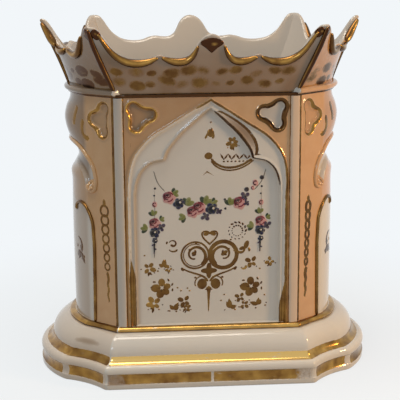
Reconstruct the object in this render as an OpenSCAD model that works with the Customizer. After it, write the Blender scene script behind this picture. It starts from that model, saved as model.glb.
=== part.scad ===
// Porcelain veilleuse stand with its oil lamp.
// The stand is built of press-moulded pieces luted together: plinth, walls, cornice and flared crown.
// X runs along the front, Y away from the viewer, Z up, with the origin under the middle of the foot.

/* [Body] */
// Width of the flat front and back faces, corner to corner
front_w = 100; // [88:1:112]
// Depth over the flat front and back faces
body_d = 84; // [76:1:96]
// Sideways run of each canted pilaster
pilaster_run = 15.8; // [13:0.2:20]
// Set-back of a pilaster's outer edge behind the flat face
pilaster_set = 13; // [10:0.5:17]
// Outward bow of each end beyond the pilaster edges
end_bow = 9.7; // [7:0.1:13]
// Height of the walls from plinth to cornice
wall_h = 128.5; // [115:0.5:145]
// Thickness of the porcelain walls
wall = 5.5; // [4.5:0.25:6.5]
// Joint left between luted pieces that meet on curved faces
slip = 0.1; // [0.05:0.05:0.2]

/* [Plinth] */
// Height of the whole plinth
plinth_h = 31.5; // [28:0.5:38]
// Height of the upright foot under the mouldings
foot_h = 9; // [6:0.5:11]
// Thickness of the foot's upright wall
foot_wall = 7; // [5:0.5:9]
// Overhang of the foot in front of the flat faces
plinth_over = 15.7; // [13:0.1:19]
// Sideways spread of the foot's front corners
corner_spread = 8.7; // [6:0.1:11]
// Sideways spread of the foot's side corners
side_spread = 15.9; // [13:0.1:18]
// Forward spread of the foot's side corners
side_set = 10; // [8:0.1:13]
// Overhang of the foot beyond the bowed ends
end_over = 21; // [18:0.5:25]
// Hollow of each canted foot face
scoop = 2; // [0.5:0.25:3]
// Height of the rounded ovolo above the foot
ovolo_h = 4.3; // [3:0.1:5]
// Height of the gilt ledge above the ovolo
ledge_h = 4.2; // [3:0.1:5]
// Overhang of the gilt ledge at its foot
ledge_reach = 13; // [11.5:0.1:14]
// Overhang of the big torus moulding
torus_reach = 10; // [8:0.1:11]
// Thickness of the floor inside the stand
floor_t = 5; // [4:0.5:6]

/* [Front niche] */
// Width of a corner colonnette on the front
colonnette_w = 5; // [4:0.25:7]
// Share of a colonnette on the canted side
colonnette_turn = 1; // [0.5:0.25:2]
// Swell of a colonnette's rounded face
colonnette_swell = 1.3; // [0.5:0.1:2]
// Width of the rib round the niche
rib_w = 1.6; // [1:0.1:2.5]
// Height of that rib above the face
rib_h = 1.2; // [0.8:0.1:2]
// Depth of the niche
niche_depth = 3; // [2:0.25:3.5]
// Thickness of the cusped tracery plate
tracery_t = 1.6; // [1:0.1:1.9]
// Distance from the niche's apex down to its springing
arch_rise = 50; // [42:0.5:56]
// Distance from the niche's apex up to the wall's top
arch_top = 2.5; // [2:0.25:5]
// Width of the tracery's jambs
jamb_w = 2.9; // [2:0.1:5]
// Reach of the cusps in from the jambs
cusp_reach = 15.5; // [12:0.5:18]
// Height of the cusps above the springing
cusp_rise = 19; // [15:0.5:22]
// Depth of the tracery's own apex below the niche's apex
tracery_drop = 3.2; // [2.5:0.1:6]

/* [Trefoils] */
// Radius of a trefoil lobe
lobe_r = 3.4; // [2.5:0.1:3.8]
// Distance of a lobe's centre from the trefoil's centre
lobe_reach = 4.6; // [3.5:0.1:5]
// Depth of the blind trefoils
trefoil_depth = 2; // [1:0.1:2.5]
// Distance of the trefoils below the wall's top
trefoil_drop = 10.5; // [9.5:0.5:13]
// Distance of the front trefoils in from the colonnettes
trefoil_in = 8.6; // [8.2:0.1:11]
// Distance of the pilaster trefoils below the wall's top
pilaster_trefoil_drop = 12.5; // [11.5:0.5:24]

/* [Ends] */
// Set-back of the end walls behind the pilaster edges
end_recess = 4; // [3:0.25:5]
// Height of the bulging hood under the cornice
hood_h = 36; // [30:0.5:42]
// Bulge of the hood beyond the pilaster edges
hood_bulge = 2.6; // [1.5:0.1:3.5]
// Height of the hollow between hood and end plate
channel_h = 4; // [2:0.5:8]
// Drop of the end plate's shoulders below its crest
plate_drop = 22; // [18:0.5:26]
// Height of the rounded edge on the end plate
plate_round = 12; // [8:0.5:16]
// Radius of a scroll curl
curl_r = 3.2; // [2.5:0.1:3.6]
// Distance of a curl's centre in from the pilaster edge
curl_in = 4; // [3.8:0.1:5]

/* [Crown] */
// Height of the cornice
cornice_h = 4.5; // [3.5:0.25:6]
// Overhang of the cornice
cornice_over = 1.9; // [1.2:0.1:2.5]
// Height of the crown's tips above the cornice
crown_h = 35.5; // [30:0.5:42]
// Thickness of the crown panels
crown_wall = 4.5; // [3.5:0.25:5]
// Sideways flare of the four front and back tips
flare_side = 13.4; // [10:0.2:16]
// Forward flare of the four front and back tips
flare_front = 13; // [10:0.2:16]
// Outward flare of the two end tips
flare_end = 15.8; // [12:0.2:18]
// Swell of the canted crown panels at their foot
crown_swell = 6; // [5:0.1:6.5]
// Height of the rolled scrolls on the rim
roll_h = 2.6; // [1.5:0.1:3.5]
// Overhang of the rolled scrolls
roll_over = 1.7; // [1:0.1:2.5]

/* [Lamp] */
// Outer diameter of the oil cup
cup_d = 48; // [40:1:56]
// Height of the oil cup
cup_h = 34; // [28:0.5:40]
// Wall of the oil cup
cup_wall = 3; // [2.25:0.25:4]
// Height of the foot ring under the cup
cup_foot_h = 2; // [1.5:0.25:3]
// Thickness of the lamp's cover
cover_t = 3; // [2.5:0.25:4]
// Overhang of the cover outside the cup
cover_over = 1; // [0.5:0.25:3]
// Depth of the cover's spigot in the cup
spigot_h = 3; // [2:0.25:5]
// Outer diameter of the wick tube
tube_d = 6; // [5.4:0.1:8]
// Wall of the wick tube
tube_wall = 1.1; // [0.8:0.1:1.3]
// Length of the wick tube below the cover's top
tube_drop = 20; // [12:0.5:24]
// Diameter of the tube's flange
flange_d = 11; // [9:0.5:16]
// Height of the tube's flange
flange_h = 1.5; // [1:0.25:2.5]
// Length of the wick above the flange
wick_up = 3; // [2:0.25:5]
// Length of the wick below the tube
wick_down = 3; // [1:0.25:4]
// Gap between pieces that move past each other
play = 0.3; // [0.2:0.05:0.5]

/* [Hidden] */
// Number of steps along a bow, a hollow face, a curve and a moulding
bow_steps = 20;
scoop_steps = 8;
curve_steps = 12;
torus_steps = 7;
ovolo_steps = 3;
rim_steps = 56;
cant_steps = 28;
rise_steps = 5;
roll_sides = 6;
$fn = 72;
// Length that clears a wall when a recess is cut
cut = 1;
// Swell below which an arc is drawn straight
straight = 0.001;

// Plan corners of the walls in the quarter x > 0, y > 0
corner = [front_w/2, body_d/2];
side = [corner.x + pilaster_run, corner.y - pilaster_set];
end_x = side.x + end_bow;
bow_r = (side.y^2 + end_bow^2)/(2*end_bow);
bow_x = end_x - bow_r;
bow_half = asin(side.y/bow_r);
// Width, plan direction and outward normal of a pilaster
pilaster_w = norm(side - corner);
cant = (side - corner)/pilaster_w;
cant_out = [-cant.y, cant.x];
cant_turn = atan2(cant.y, cant.x);
// Radii of the end walls
end_r = bow_r - end_recess;
end_in_r = end_r - wall;

// Levels from the foot upwards
cornice_z = plinth_h + wall_h;
crown_z = cornice_z + cornice_h;

// The plan grows from the walls at 0 to the foot at 1, and shrinks to the inner faces below 0
inner_share = -wall/plinth_over;
foot_share = 1 - foot_wall/plinth_over;
torus_share = torus_reach/plinth_over;
ledge_share = ledge_reach/plinth_over;
cornice_share = cornice_over/plinth_over;
cornice_lip = 0.25;
torus_z = foot_h + ovolo_h + ledge_h;
// Hollow under the plinth: its lap below the floor, and the bend of its sloping roof
floor_lap = 1;
underside_share = 0.25;
underside_fall = 0.72;
underside_z = plinth_h - floor_t - floor_lap;
underside_mid_z = mix(foot_h, underside_z, underside_fall);

// Front niche, in the plane of the face with z from the wall's foot
panel_half = corner.x - colonnette_w;
niche_half = panel_half - rib_w;
niche_apex = wall_h - arch_top - rib_w;
niche_spring = niche_apex - arch_rise;
opening_half = niche_half - jamb_w;
cusp = [opening_half - cusp_reach, niche_spring + cusp_rise];
tracery_apex = niche_apex - tracery_drop;
// Handles of the arch curves as shares of each curve's width and height
niche_lift = 0.52;
niche_lean = [0.55, 0.68];
lobe_lift = 0.63;
lobe_lean = 0.48;
head_lift = [0.92, 0.29];
head_lean = [0.48, 0.64];
// Directions of a trefoil's lobes on the front and on a pilaster, and its middle as a share of their reach
front_lobes = [175, 52, 292];
pilaster_lobes = [103, 0, 265];
trefoil_middle = 0.74;
// Place and lobe reach of the pilaster trefoils as shares of a pilaster's width
pilaster_trefoil_place = 0.44;
pilaster_trefoil_reach = 0.3;

// Hood and end plate, with z from the wall's foot
hood_foot = wall_h - hood_h;
hood_steps = 10;
hood_full = 2.2;
// Thickness left at the thin edges of hood and end plate
thin_edge = 1;
plate_crest = hood_foot - channel_h;
plate_shoulder = plate_crest - plate_drop;
curl_gap = 0.6;
curl_proud = 1;
curl_z = plate_shoulder + curl_r + curl_gap;
curl_turn = asin((side.y - curl_in)/bow_r);
// Half-width of the end plate beside the curls, and the handles of its arched crest
plate_half = (side.y - curl_in)*end_r/bow_r - curl_r - curl_gap;
crest_lift = 0.6;
crest_lean = 0.6;

// Scallops of the rim: start, height there, end, height there, and depth of the dip between,
// along half the front or back from its middle and along a canted panel from its corner tip
front_scallops = [[0, 0.85, 0.11, 0.72, -0.03], [0.11, 0.72, 0.46, 0.53, 0.17],
    [0.46, 0.53, 0.86, 0.6, 0.13], [0.86, 0.6, 0.94, 0.91, 0], [0.94, 0.91, 1, 0.97, -0.015]];
back_scallops = [[0, 0.95, 0.12, 0.82, -0.03], [0.12, 0.82, 0.39, 0.61, 0.11],
    [0.39, 0.61, 0.86, 0.69, 0.11], [0.86, 0.69, 0.93, 0.93, 0], [0.93, 0.93, 1, 0.97, -0.01]];
cant_scallops = [[0, 0.97, 0.1, 0.93, -0.01], [0.1, 0.93, 0.57, 0.6, 0.2],
    [0.57, 0.6, 0.88, 0.66, 0.08], [0.88, 0.66, 1, 1, 0.05]];
scallop_slack = 0.0001;
// Stretches of those scallops that carry a rolled scroll
front_rolls = [[0.14, 0.43], [0.5, 0.86]];
back_rolls = [[0.18, 0.36], [0.43, 0.86]];
cant_rolls = [[0.22, 0.54], [0.61, 0.86]];
crown_cove = 0.25;
rim_swell = 1;
// Step down the face that finds its slope at the rim
rim_probe = 0.1;
// Angle round a roll's section where its overhang ends, and the size of its tapered tails
roll_turn = 120;
roll_tail = 0.3;
chord = ([end_x, 0] - corner)/norm([end_x, 0] - corner);
chord_out = [-chord.y, chord.x];
corner_mitre = ([0, 1] + chord_out)/(1 + chord_out.y);
end_mitre = 1/chord_out.x;

// Lamp levels
cup_z = plinth_h + play;
cup_in_r = cup_d/2 - cup_wall;
cover_z = cup_z + cup_h + play;
flange_z = cover_z + cover_t;
tube_in_r = tube_d/2 - tube_wall;

white = "#efe7dc";
apricot = "#dcae84";
gilt = "#b88a3a";
tin = "#9a9a96";
cotton = "#e8e2d0";

function mix(a, b, t) = a + (b - a)*t;
function bezier(a, b, c, d, t) = a*(1 - t)^3 + 3*b*t*(1 - t)^2 + 3*c*t^2*(1 - t) + d*t^3;
function curve(a, b, c, d) = [for (i = [0:curve_steps]) bezier(a, b, c, d, i/curve_steps)];
function mirrored(points) = [for (i = [len(points) - 1:-1:0]) [-points[i].x, points[i].y]];
function whole(points) = concat(points, mirrored(points));
function split(q) = [[q[0], q[1], q[2]], [q[0], q[2], q[3]]];
function triangles(quads) = [for (q = quads) for (t = split(q)) t];

// Point at share t of a circular arc from a to b that swells by s to its right-hand side
function arc_point(a, b, s, t) = let(
    c = norm(b - a), along = (b - a)/c, out = [along.y, -along.x],
    r = (c*c/4 + s*s)/(2*abs(s)), half = asin(min(1, c/(2*r))), turn = half*(2*t - 1))
    abs(s) < straight ? mix(a, b, t)
    : (a + b)/2 + out*(s - sign(s)*r) + (out*sign(s)*cos(turn) + along*sin(turn))*r;
function arc_run(a, b, s, n) = [for (i = [0:n - 1]) arc_point(a, b, s, i/n)];

// Outline of the stand in plan, anticlockwise, at share t of the way from the walls to the foot
function outline(t) = let(
    f = corner + t*[corner_spread, plinth_over], s = side + t*[side_spread, side_set],
    bow = end_x + t*end_over - s.x, hollow = -scoop*max(t, 0))
    concat([[-f.x, -f.y]],
        arc_run([f.x, -f.y], [s.x, -s.y], hollow, scoop_steps),
        arc_run([s.x, -s.y], s, bow, bow_steps),
        arc_run(s, f, hollow, scoop_steps),
        [f],
        arc_run([-f.x, f.y], [-s.x, s.y], hollow, scoop_steps),
        arc_run([-s.x, s.y], -s, bow, bow_steps),
        arc_run(-s, -f, hollow, scoop_steps));

// Closed moulding: a loop of [share, z] pairs carried round the outline
module moulding(loop) {
    rings = [for (p = loop) [for (q = outline(p.x)) [q.x, q.y, p.y]]];
    n = len(rings[0]);
    m = len(rings);
    quads = [for (k = [0:m - 1], i = [0:n - 1]) let(k1 = (k + 1)%m, i1 = (i + 1)%n)
        [k*n + i, k1*n + i, k1*n + i1, k*n + i1]];
    polyhedron([for (r = rings) for (p = r) p], triangles(quads));
}

// Slab between an outer and an inner grid of points, each a list of columns from foot to top
module slab(outer, inner) {
    n = len(outer);
    m = len(outer[0]);
    h = n*m;
    side_quads = [for (i = [0:n - 2], j = [0:m - 2]) let(a = i*m + j, b = a + m)
        each [[a, a + 1, b + 1, b], [h + a, h + b, h + b + 1, h + a + 1]]];
    foot_quads = [for (i = [0:n - 2]) let(a = i*m, b = a + m) [a, b, h + b, h + a]];
    top_quads = [for (i = [0:n - 2]) let(a = i*m + m - 1, b = a + m) [b, a, h + a, h + b]];
    end_quads = [for (j = [0:m - 2]) let(b = (n - 1)*m + j)
        each [[j + 1, j, h + j, h + j + 1], [b, b + 1, h + b + 1, h + b]]];
    points = concat([for (c = outer) for (p = c) p], [for (c = inner) for (p = c) p]);
    polyhedron(points, triangles(concat(side_quads, foot_quads, top_quads, end_quads)));
}

// Tube of equal closed sections, capped at both ends
module lofted(sections) {
    n = len(sections);
    m = len(sections[0]);
    quads = [for (i = [0:n - 2], k = [0:m - 1]) let(k1 = (k + 1)%m, a = i*m, b = a + m)
        [a + k, a + k1, b + k1, b + k]];
    caps = [[for (k = [m - 1:-1:0]) k], [for (k = [0:m - 1]) (n - 1)*m + k]];
    polyhedron([for (s = sections) for (p = s) p], concat(triangles(quads), caps));
}

// Places the child of the front right quarter in another quarter
module quarter(x, y) mirror([x < 0 ? 1 : 0, 0, 0]) mirror([0, y > 0 ? 1 : 0, 0]) children();

// Stands a drawing in the plane of the front face, with its depth running inwards from in
module on_front(in, depth) translate([0, in - corner.y, plinth_h]) rotate([90, 0, 0])
    translate([0, 0, -depth]) linear_extrude(depth) children();

// Stands a drawing on a pilaster's face, with x from the colonnette towards the end
module on_pilaster(in, depth) translate([corner.x, -corner.y, plinth_h]) rotate([0, 0, -cant_turn])
    translate([0, in, 0]) rotate([90, 0, 0]) translate([0, 0, -depth]) linear_extrude(depth) children();

module trefoil(lobes, reach) {
    circle(trefoil_middle*reach);
    for (a = lobes) translate(reach*[cos(a), sin(a)]) circle(lobe_r);
}

// Pointed niche, grown all round by g
module niche_shape(g) {
    half = niche_half + g;
    top = niche_apex + g;
    polygon(whole(concat([[half, 0]],
        curve([half, niche_spring], [half, mix(niche_spring, top, niche_lift)],
            [niche_lean.x*half, mix(niche_spring, top, niche_lean.y)], [0, top]))));
}

// Cusped opening of the tracery: a round lobe up to each cusp and a pointed head above
module cusped_shape() {
    lobe = curve([opening_half, niche_spring], [opening_half, mix(niche_spring, cusp.y, lobe_lift)],
        [mix(opening_half, cusp.x, lobe_lean), cusp.y], cusp);
    head = curve(cusp, [head_lift.x*cusp.x, mix(cusp.y, tracery_apex, head_lift.y)],
        [head_lean.x*cusp.x, mix(cusp.y, tracery_apex, head_lean.y)], [0, tracery_apex]);
    polygon(whole(concat([[opening_half, 0]], lobe, head)));
}

module flat_panel() color(apricot) difference() {
    on_front(0, wall) translate([-panel_half, 0]) square([2*panel_half, wall_h]);
    on_front(-cut, niche_depth + cut) niche_shape(0);
    for (s = [-1, 1]) on_front(-cut, trefoil_depth + cut) mirror([s < 0 ? 1 : 0, 0])
        translate([panel_half - trefoil_in, wall_h - trefoil_drop]) trefoil(front_lobes, lobe_reach);
}

module tracery() color(white) on_front(niche_depth - tracery_t, tracery_t) difference() {
    niche_shape(-slip);
    cusped_shape();
}

module arch_rib() color(gilt) on_front(-rib_h, rib_h) difference() {
    niche_shape(rib_w);
    niche_shape(0);
}

// Corner of the pilaster beside the colonnette, outside and inside, in plan
pilaster_start = corner + cant*colonnette_turn;
pilaster_start_in = pilaster_start - cant_out*wall;
pilaster_end_in = [bow_x, 0] + (side - [bow_x, 0])*end_in_r/bow_r;

module upright(points) translate([0, 0, plinth_h]) linear_extrude(wall_h)
    polygon([for (p = points) [p.x, -p.y]]);

module colonnette() color(white) {
    edge = [panel_half, corner.y];
    upright(concat([[panel_half, corner.y - wall]],
        [for (i = [0:curve_steps]) arc_point(pilaster_start, edge, colonnette_swell, 1 - i/curve_steps)],
        [pilaster_start_in]));
}

module pilaster() color(apricot) difference() {
    upright([pilaster_start, side, pilaster_end_in, pilaster_start_in]);
    on_pilaster(-cut, trefoil_depth + cut)
        translate([pilaster_trefoil_place*pilaster_w, wall_h - pilaster_trefoil_drop])
            trefoil(pilaster_lobes, pilaster_trefoil_reach*pilaster_w);
}

// Turns a profile of [radius, z] points about the axis of the right-hand bow
module end_turned(points) translate([bow_x, 0, plinth_h]) rotate([0, 0, -bow_half])
    rotate_extrude(angle = 2*bow_half, $fn = 2*$fn) polygon(points);

module end_wall() color(white)
    end_turned([[end_in_r, 0], [end_r, 0], [end_r, wall_h], [end_in_r, wall_h]]);

// The hood swells out of the recess, bulges and draws in again under the cornice
module hood() color(apricot) {
    skin = [for (i = [0:hood_steps]) let(t = i/hood_steps)
        [bezier(end_r + thin_edge, end_r + thin_edge, bow_r + hood_full*hood_bulge, bow_r, t),
            mix(hood_foot, wall_h, t)]];
    end_turned(concat([[end_r + slip, hood_foot]], skin, [[end_r + slip, wall_h]]));
}

// The end plate has a rounded upper edge and an arched crest
module end_plate() color(white) intersection() {
    bend = [for (i = [0:curve_steps]) let(a = 90*i/curve_steps)
        [mix(end_r + thin_edge, bow_r, cos(a)), plate_crest + plate_round*(sin(a) - 1)]];
    end_turned(concat([[end_r + slip, 0], [bow_r, 0]], bend, [[end_r + slip, plate_crest]]));
    crest = curve([plate_half, plate_shoulder], [plate_half, mix(plate_shoulder, plate_crest, crest_lift)],
        [crest_lean*plate_half, plate_crest], [0, plate_crest]);
    translate([0, 0, plinth_h]) rotate([90, 0, 90]) linear_extrude(2*end_x)
        polygon(whole(concat([[side.y, 0], [side.y, plate_shoulder]], crest)));
}

module scroll_curls() color(gilt) for (s = [-1, 1]) translate([bow_x, 0, plinth_h + curl_z])
    rotate([0, 90, s*curl_turn]) translate([0, 0, end_r + 2*slip])
        cylinder(h = end_recess + curl_proud, r = curl_r);

// Crown corners at share h of its height, on the outer face for in = 0 and the inner face for in = 1
function flare(h) = mix(h, h*h, crown_cove);
function tip_corner(h, in) = corner + [flare_side, flare_front]*flare(h) - in*crown_wall*corner_mitre;
function tip_end(h, in) = [end_x + flare_end*flare(h) - in*crown_wall*end_mitre, 0];
function front_point(u, h, in) = let(c = tip_corner(h, in)) [(2*u - 1)*c.x, -c.y, crown_z + crown_h*h];
function cant_point(u, h, in) = let(a = tip_corner(h, in), b = tip_end(h, in),
    p = arc_point([a.x, -a.y], [b.x, -b.y], mix(crown_swell, rim_swell, h), u))
    [p.x, p.y, crown_z + crown_h*h];
// Height of the rim at share s of a scalloped stretch
function scallop(list, s) = let(
    k = [for (e = list) if (s <= e[2] + scallop_slack) e][0], q = (s - k[0])/(k[2] - k[0]))
    mix(k[1], k[3], q) - 4*k[4]*q*(1 - q);
function flat_rim(list, u) = scallop(list, abs(2*u - 1));
function cant_rim(u) = scallop(cant_scallops, u);

module flat_crown(list) color(white) {
    columns = [for (in = [0, 1]) [for (i = [0:rim_steps]) let(u = i/rim_steps)
        [for (j = [0:rise_steps]) front_point(u, flat_rim(list, u)*j/rise_steps, in)]]];
    slab(columns[0], columns[1]);
}

module cant_crown() color(white) {
    columns = [for (in = [0, 1]) [for (i = [0:cant_steps]) let(u = i/cant_steps)
        [for (j = [0:rise_steps]) cant_point(u, cant_rim(u)*j/rise_steps, in)]]];
    slab(columns[0], columns[1]);
}

// Section of a rolled scroll standing on the rim between outer point a and inner point b
function roll_section(a, b, up, size) = let(
    out = (a - b)/norm(a - b), foot = up*slip, mid = (a + b)/2 + foot, half = norm(a - b)/2)
    [for (k = [0:roll_sides]) let(
        t = 180*k/roll_sides, proud = t < roll_turn ? roll_over*sin(180*t/roll_turn) : 0)
        mid + out*(half*cos(t) + proud*size) + up*roll_h*sin(t)*size];
function roll_size(q) = mix(roll_tail, 1, sin(180*q));

// Rolled scroll over columns first to last of a rim
module flat_roll(list, first, last) lofted([for (i = [first:last]) let(u = i/rim_steps, h = flat_rim(list, u),
    up = front_point(u, h, 0) - front_point(u, h - rim_probe, 0))
    roll_section(front_point(u, h, 0), front_point(u, h, 1), up/norm(up),
        roll_size((i - first)/(last - first)))]);
module cant_roll(first, last) lofted([for (i = [first:last]) let(u = i/cant_steps, h = cant_rim(u),
    up = cant_point(u, h, 0) - cant_point(u, h - rim_probe, 0))
    roll_section(cant_point(u, h, 0), cant_point(u, h, 1), up/norm(up),
        roll_size((i - first)/(last - first)))]);

module flat_scrolls(list, rolls) color(gilt) for (s = [1, -1], r = rolls) mirror([s < 0 ? 1 : 0, 0, 0])
    flat_roll(list, round(rim_steps*(1 + r[0])/2), round(rim_steps*(1 + r[1])/2));
module cant_scrolls() color(gilt) for (r = cant_rolls)
    cant_roll(round(cant_steps*r[0]), round(cant_steps*r[1]));

// Plinth, floor and cornice

module plinth_foot() color(white) linear_extrude(foot_h) difference() {
    polygon(outline(1));
    polygon(outline(foot_share));
}

module plinth_moulding() color(white) {
    ovolo = [for (i = [0:ovolo_steps]) let(a = 90*i/ovolo_steps)
        [mix(ledge_share, 1, cos(a)), foot_h + ovolo_h*sin(a)]];
    torus = [for (i = [0:torus_steps]) let(a = 90*i/torus_steps)
        [torus_share*cos(a), mix(torus_z, plinth_h, sin(a))]];
    moulding(concat(ovolo, torus, [[inner_share, plinth_h], [inner_share, underside_z],
        [underside_share, underside_mid_z], [foot_share, foot_h]]));
}

module floor_slab() color(white) translate([0, 0, plinth_h - floor_t]) linear_extrude(floor_t)
    polygon(outline(inner_share));

module cornice() color(white) translate([0, 0, cornice_z]) moulding([
    [cornice_lip*cornice_share, 0], [cornice_share, cornice_h/3], [cornice_share, 2*cornice_h/3],
    [cornice_lip*cornice_share, cornice_h], [inner_share, cornice_h], [inner_share, 0]]);

// Walls

module front_panel() flat_panel();
module back_panel() mirror([0, 1, 0]) flat_panel();
module front_tracery() tracery();
module back_tracery() mirror([0, 1, 0]) tracery();
module front_arch_rib() arch_rib();
module back_arch_rib() mirror([0, 1, 0]) arch_rib();
module front_left_colonnette() quarter(-1, -1) colonnette();
module front_right_colonnette() quarter(1, -1) colonnette();
module back_left_colonnette() quarter(-1, 1) colonnette();
module back_right_colonnette() quarter(1, 1) colonnette();
module front_left_pilaster() quarter(-1, -1) pilaster();
module front_right_pilaster() quarter(1, -1) pilaster();
module back_left_pilaster() quarter(-1, 1) pilaster();
module back_right_pilaster() quarter(1, 1) pilaster();
module left_end_wall() mirror([1, 0, 0]) end_wall();
module right_end_wall() end_wall();
module left_end_plate() mirror([1, 0, 0]) end_plate();
module right_end_plate() end_plate();
module left_hood() mirror([1, 0, 0]) hood();
module right_hood() hood();
module left_scroll_curls() mirror([1, 0, 0]) scroll_curls();
module right_scroll_curls() scroll_curls();

// Crown

module crown_front() flat_crown(front_scallops);
module crown_back() mirror([0, 1, 0]) flat_crown(back_scallops);
module crown_front_left() quarter(-1, -1) cant_crown();
module crown_front_right() quarter(1, -1) cant_crown();
module crown_back_left() quarter(-1, 1) cant_crown();
module crown_back_right() quarter(1, 1) cant_crown();
module front_rim_scrolls() flat_scrolls(front_scallops, front_rolls);
module back_rim_scrolls() mirror([0, 1, 0]) flat_scrolls(back_scallops, back_rolls);
module left_rim_scrolls() for (y = [-1, 1]) quarter(-1, y) cant_scrolls();
module right_rim_scrolls() for (y = [-1, 1]) quarter(1, y) cant_scrolls();

// Lamp

module godet_cup() color(white) translate([0, 0, cup_z]) rotate_extrude() difference() {
    square([cup_d/2, cup_h]);
    translate([0, cup_foot_h + cup_wall]) square([cup_in_r, cup_h]);
    square([cup_in_r - cup_wall, cup_foot_h]);
}

module godet_cover() color(white) translate([0, 0, cover_z]) difference() {
    union() {
        cylinder(h = cover_t, r = cup_d/2 + cover_over);
        translate([0, 0, -spigot_h - play]) cylinder(h = spigot_h + play, r = cup_in_r - play);
    }
    translate([0, 0, -spigot_h - play - cut])
        cylinder(h = spigot_h + play + cover_t + 2*cut, r = tube_d/2 + slip);
}

module wick_tube() color(tin) translate([0, 0, flange_z]) difference() {
    union() {
        cylinder(h = flange_h, r = flange_d/2);
        translate([0, 0, -tube_drop]) cylinder(h = tube_drop, r = tube_d/2);
    }
    translate([0, 0, -tube_drop - cut]) cylinder(h = tube_drop + flange_h + 2*cut, r = tube_in_r);
}

module wick() color(cotton) translate([0, 0, flange_z - tube_drop - wick_down])
    cylinder(h = wick_down + tube_drop + flange_h + wick_up, r = tube_in_r - play);

plinth_foot();
plinth_moulding();
floor_slab();
front_panel();
back_panel();
front_tracery();
back_tracery();
front_arch_rib();
back_arch_rib();
front_left_colonnette();
front_right_colonnette();
back_left_colonnette();
back_right_colonnette();
front_left_pilaster();
front_right_pilaster();
back_left_pilaster();
back_right_pilaster();
left_end_wall();
right_end_wall();
left_end_plate();
right_end_plate();
left_hood();
right_hood();
left_scroll_curls();
right_scroll_curls();
cornice();
crown_front();
crown_back();
crown_front_left();
crown_front_right();
crown_back_left();
crown_back_right();
front_rim_scrolls();
back_rim_scrolls();
left_rim_scrolls();
right_rim_scrolls();
godet_cup();
godet_cover();
wick_tube();
wick();
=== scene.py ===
"""Dresses a Gothic-revival porcelain veilleuse stand, with its lift-out lamp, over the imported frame."""

import logging
import math
from dataclasses import dataclass, field
from enum import Enum
from typing import Callable, Iterable

import bmesh
import bpy
import numpy as np
from mathutils import Matrix, Vector

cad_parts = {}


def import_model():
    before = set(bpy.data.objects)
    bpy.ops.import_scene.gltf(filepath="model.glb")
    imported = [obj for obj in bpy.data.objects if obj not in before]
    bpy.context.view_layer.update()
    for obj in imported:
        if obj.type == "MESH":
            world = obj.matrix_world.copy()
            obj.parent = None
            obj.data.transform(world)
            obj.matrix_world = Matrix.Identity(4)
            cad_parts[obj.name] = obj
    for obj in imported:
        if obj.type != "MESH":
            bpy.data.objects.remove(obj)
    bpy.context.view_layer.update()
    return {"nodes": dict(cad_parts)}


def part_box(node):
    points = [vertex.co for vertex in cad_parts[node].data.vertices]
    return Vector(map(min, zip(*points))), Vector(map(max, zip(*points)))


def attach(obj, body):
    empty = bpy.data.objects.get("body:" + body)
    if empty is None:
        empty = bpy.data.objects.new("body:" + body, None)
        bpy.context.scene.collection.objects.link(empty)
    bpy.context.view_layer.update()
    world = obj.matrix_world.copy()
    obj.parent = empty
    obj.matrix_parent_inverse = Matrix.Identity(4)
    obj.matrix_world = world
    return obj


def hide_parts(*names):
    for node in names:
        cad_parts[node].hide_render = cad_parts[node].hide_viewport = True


LOG = logging.getLogger("veilleuse")
Array = np.ndarray
Place = Callable[[Array, Array, Array], Array]
Knots = tuple[tuple[float, float], ...]
Material = bpy.types.Material
Socket = bpy.types.NodeSocket
MM = 0.001
STAND = "stand"
BARE = -10.0


class Side(Enum):
    """The two bowed ends, and the sign of X there."""

    LEFT = -1
    RIGHT = 1


class Face(Enum):
    """The two flat faces, and the sign of Y there."""

    FRONT = -1
    BACK = 1


class Pigment(Enum):
    """Enamel colours of the painted flowers, as sRGB hex."""

    ROSE = "#7a2433"
    ROSE_DEEP = "#3a0a16"
    PINK = "#cc9a99"
    LEAF = "#7a8046"
    LEAF_DARK = "#343f28"
    BLUE = "#171b3e"
    BLUE_DARK = "#070812"
    VIOLET = "#43364b"
    GREY = "#79746a"
    INK = "#2c2429"
    CREAM = "#ddd3c2"


Paint = Pigment | float
Value = Array | float


def mix(start: Value, end: Value, share: Value) -> Value:
    """Blend from start to end by a share."""
    return start + (end - start) * share


def ease(low: Value, high: Value, value: Value) -> Array:
    """Smooth step from 0 at low to 1 at high, as 3t^2 - 2t^3."""
    share = np.clip((value - low) / (high - low), 0.0, 1.0)
    return share * share * (3.0 - 2.0 * share)


def bead(way: Array, middle: float, half: float) -> Array:
    """Height of a raised bead, as 1 - t^2 with t the way from its middle over its half-width."""
    return np.clip(1.0 - ((way - middle) / half) ** 2, 0.0, 1.0)


def around(count: int) -> Array:
    """Evenly spaced angles of a full turn."""
    return np.linspace(0.0, 2.0 * math.pi, count, endpoint=False)


def orbit(at: tuple[float, float], wide: Value, tall: Value, angle: Value) -> Array:
    """Places on an ellipse about a middle, at angles in radians."""
    return np.stack((at[0] + wide * np.cos(angle), at[1] + tall * np.sin(angle)), axis=-1)


def unit(rows: Array) -> Array:
    """Rows scaled to a length of one."""
    return rows / (np.linalg.norm(rows, axis=1, keepdims=True) + 1e-12)


def bezier(controls: Iterable[tuple[float, ...]], count: int) -> Array:
    """Points on a Bezier curve of any degree, as control points weighed by Bernstein polynomials.

    Args:
        controls: The control points.
        count: How many points to give.

    Returns:
        The points, evenly spaced in the parameter.
    """
    points = np.asarray(controls, float)
    degree = len(points) - 1
    t = np.linspace(0.0, 1.0, count)[:, None]
    powers = np.arange(degree + 1)
    choose = np.array([math.comb(degree, k) for k in powers])
    return (choose * t**powers * (1.0 - t) ** (degree - powers)) @ points


def lengths(points: Array) -> Array:
    """Way along a path at each of its points."""
    return np.concatenate(([0.0], np.cumsum(np.linalg.norm(np.diff(points, axis=0), axis=1))))


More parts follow.
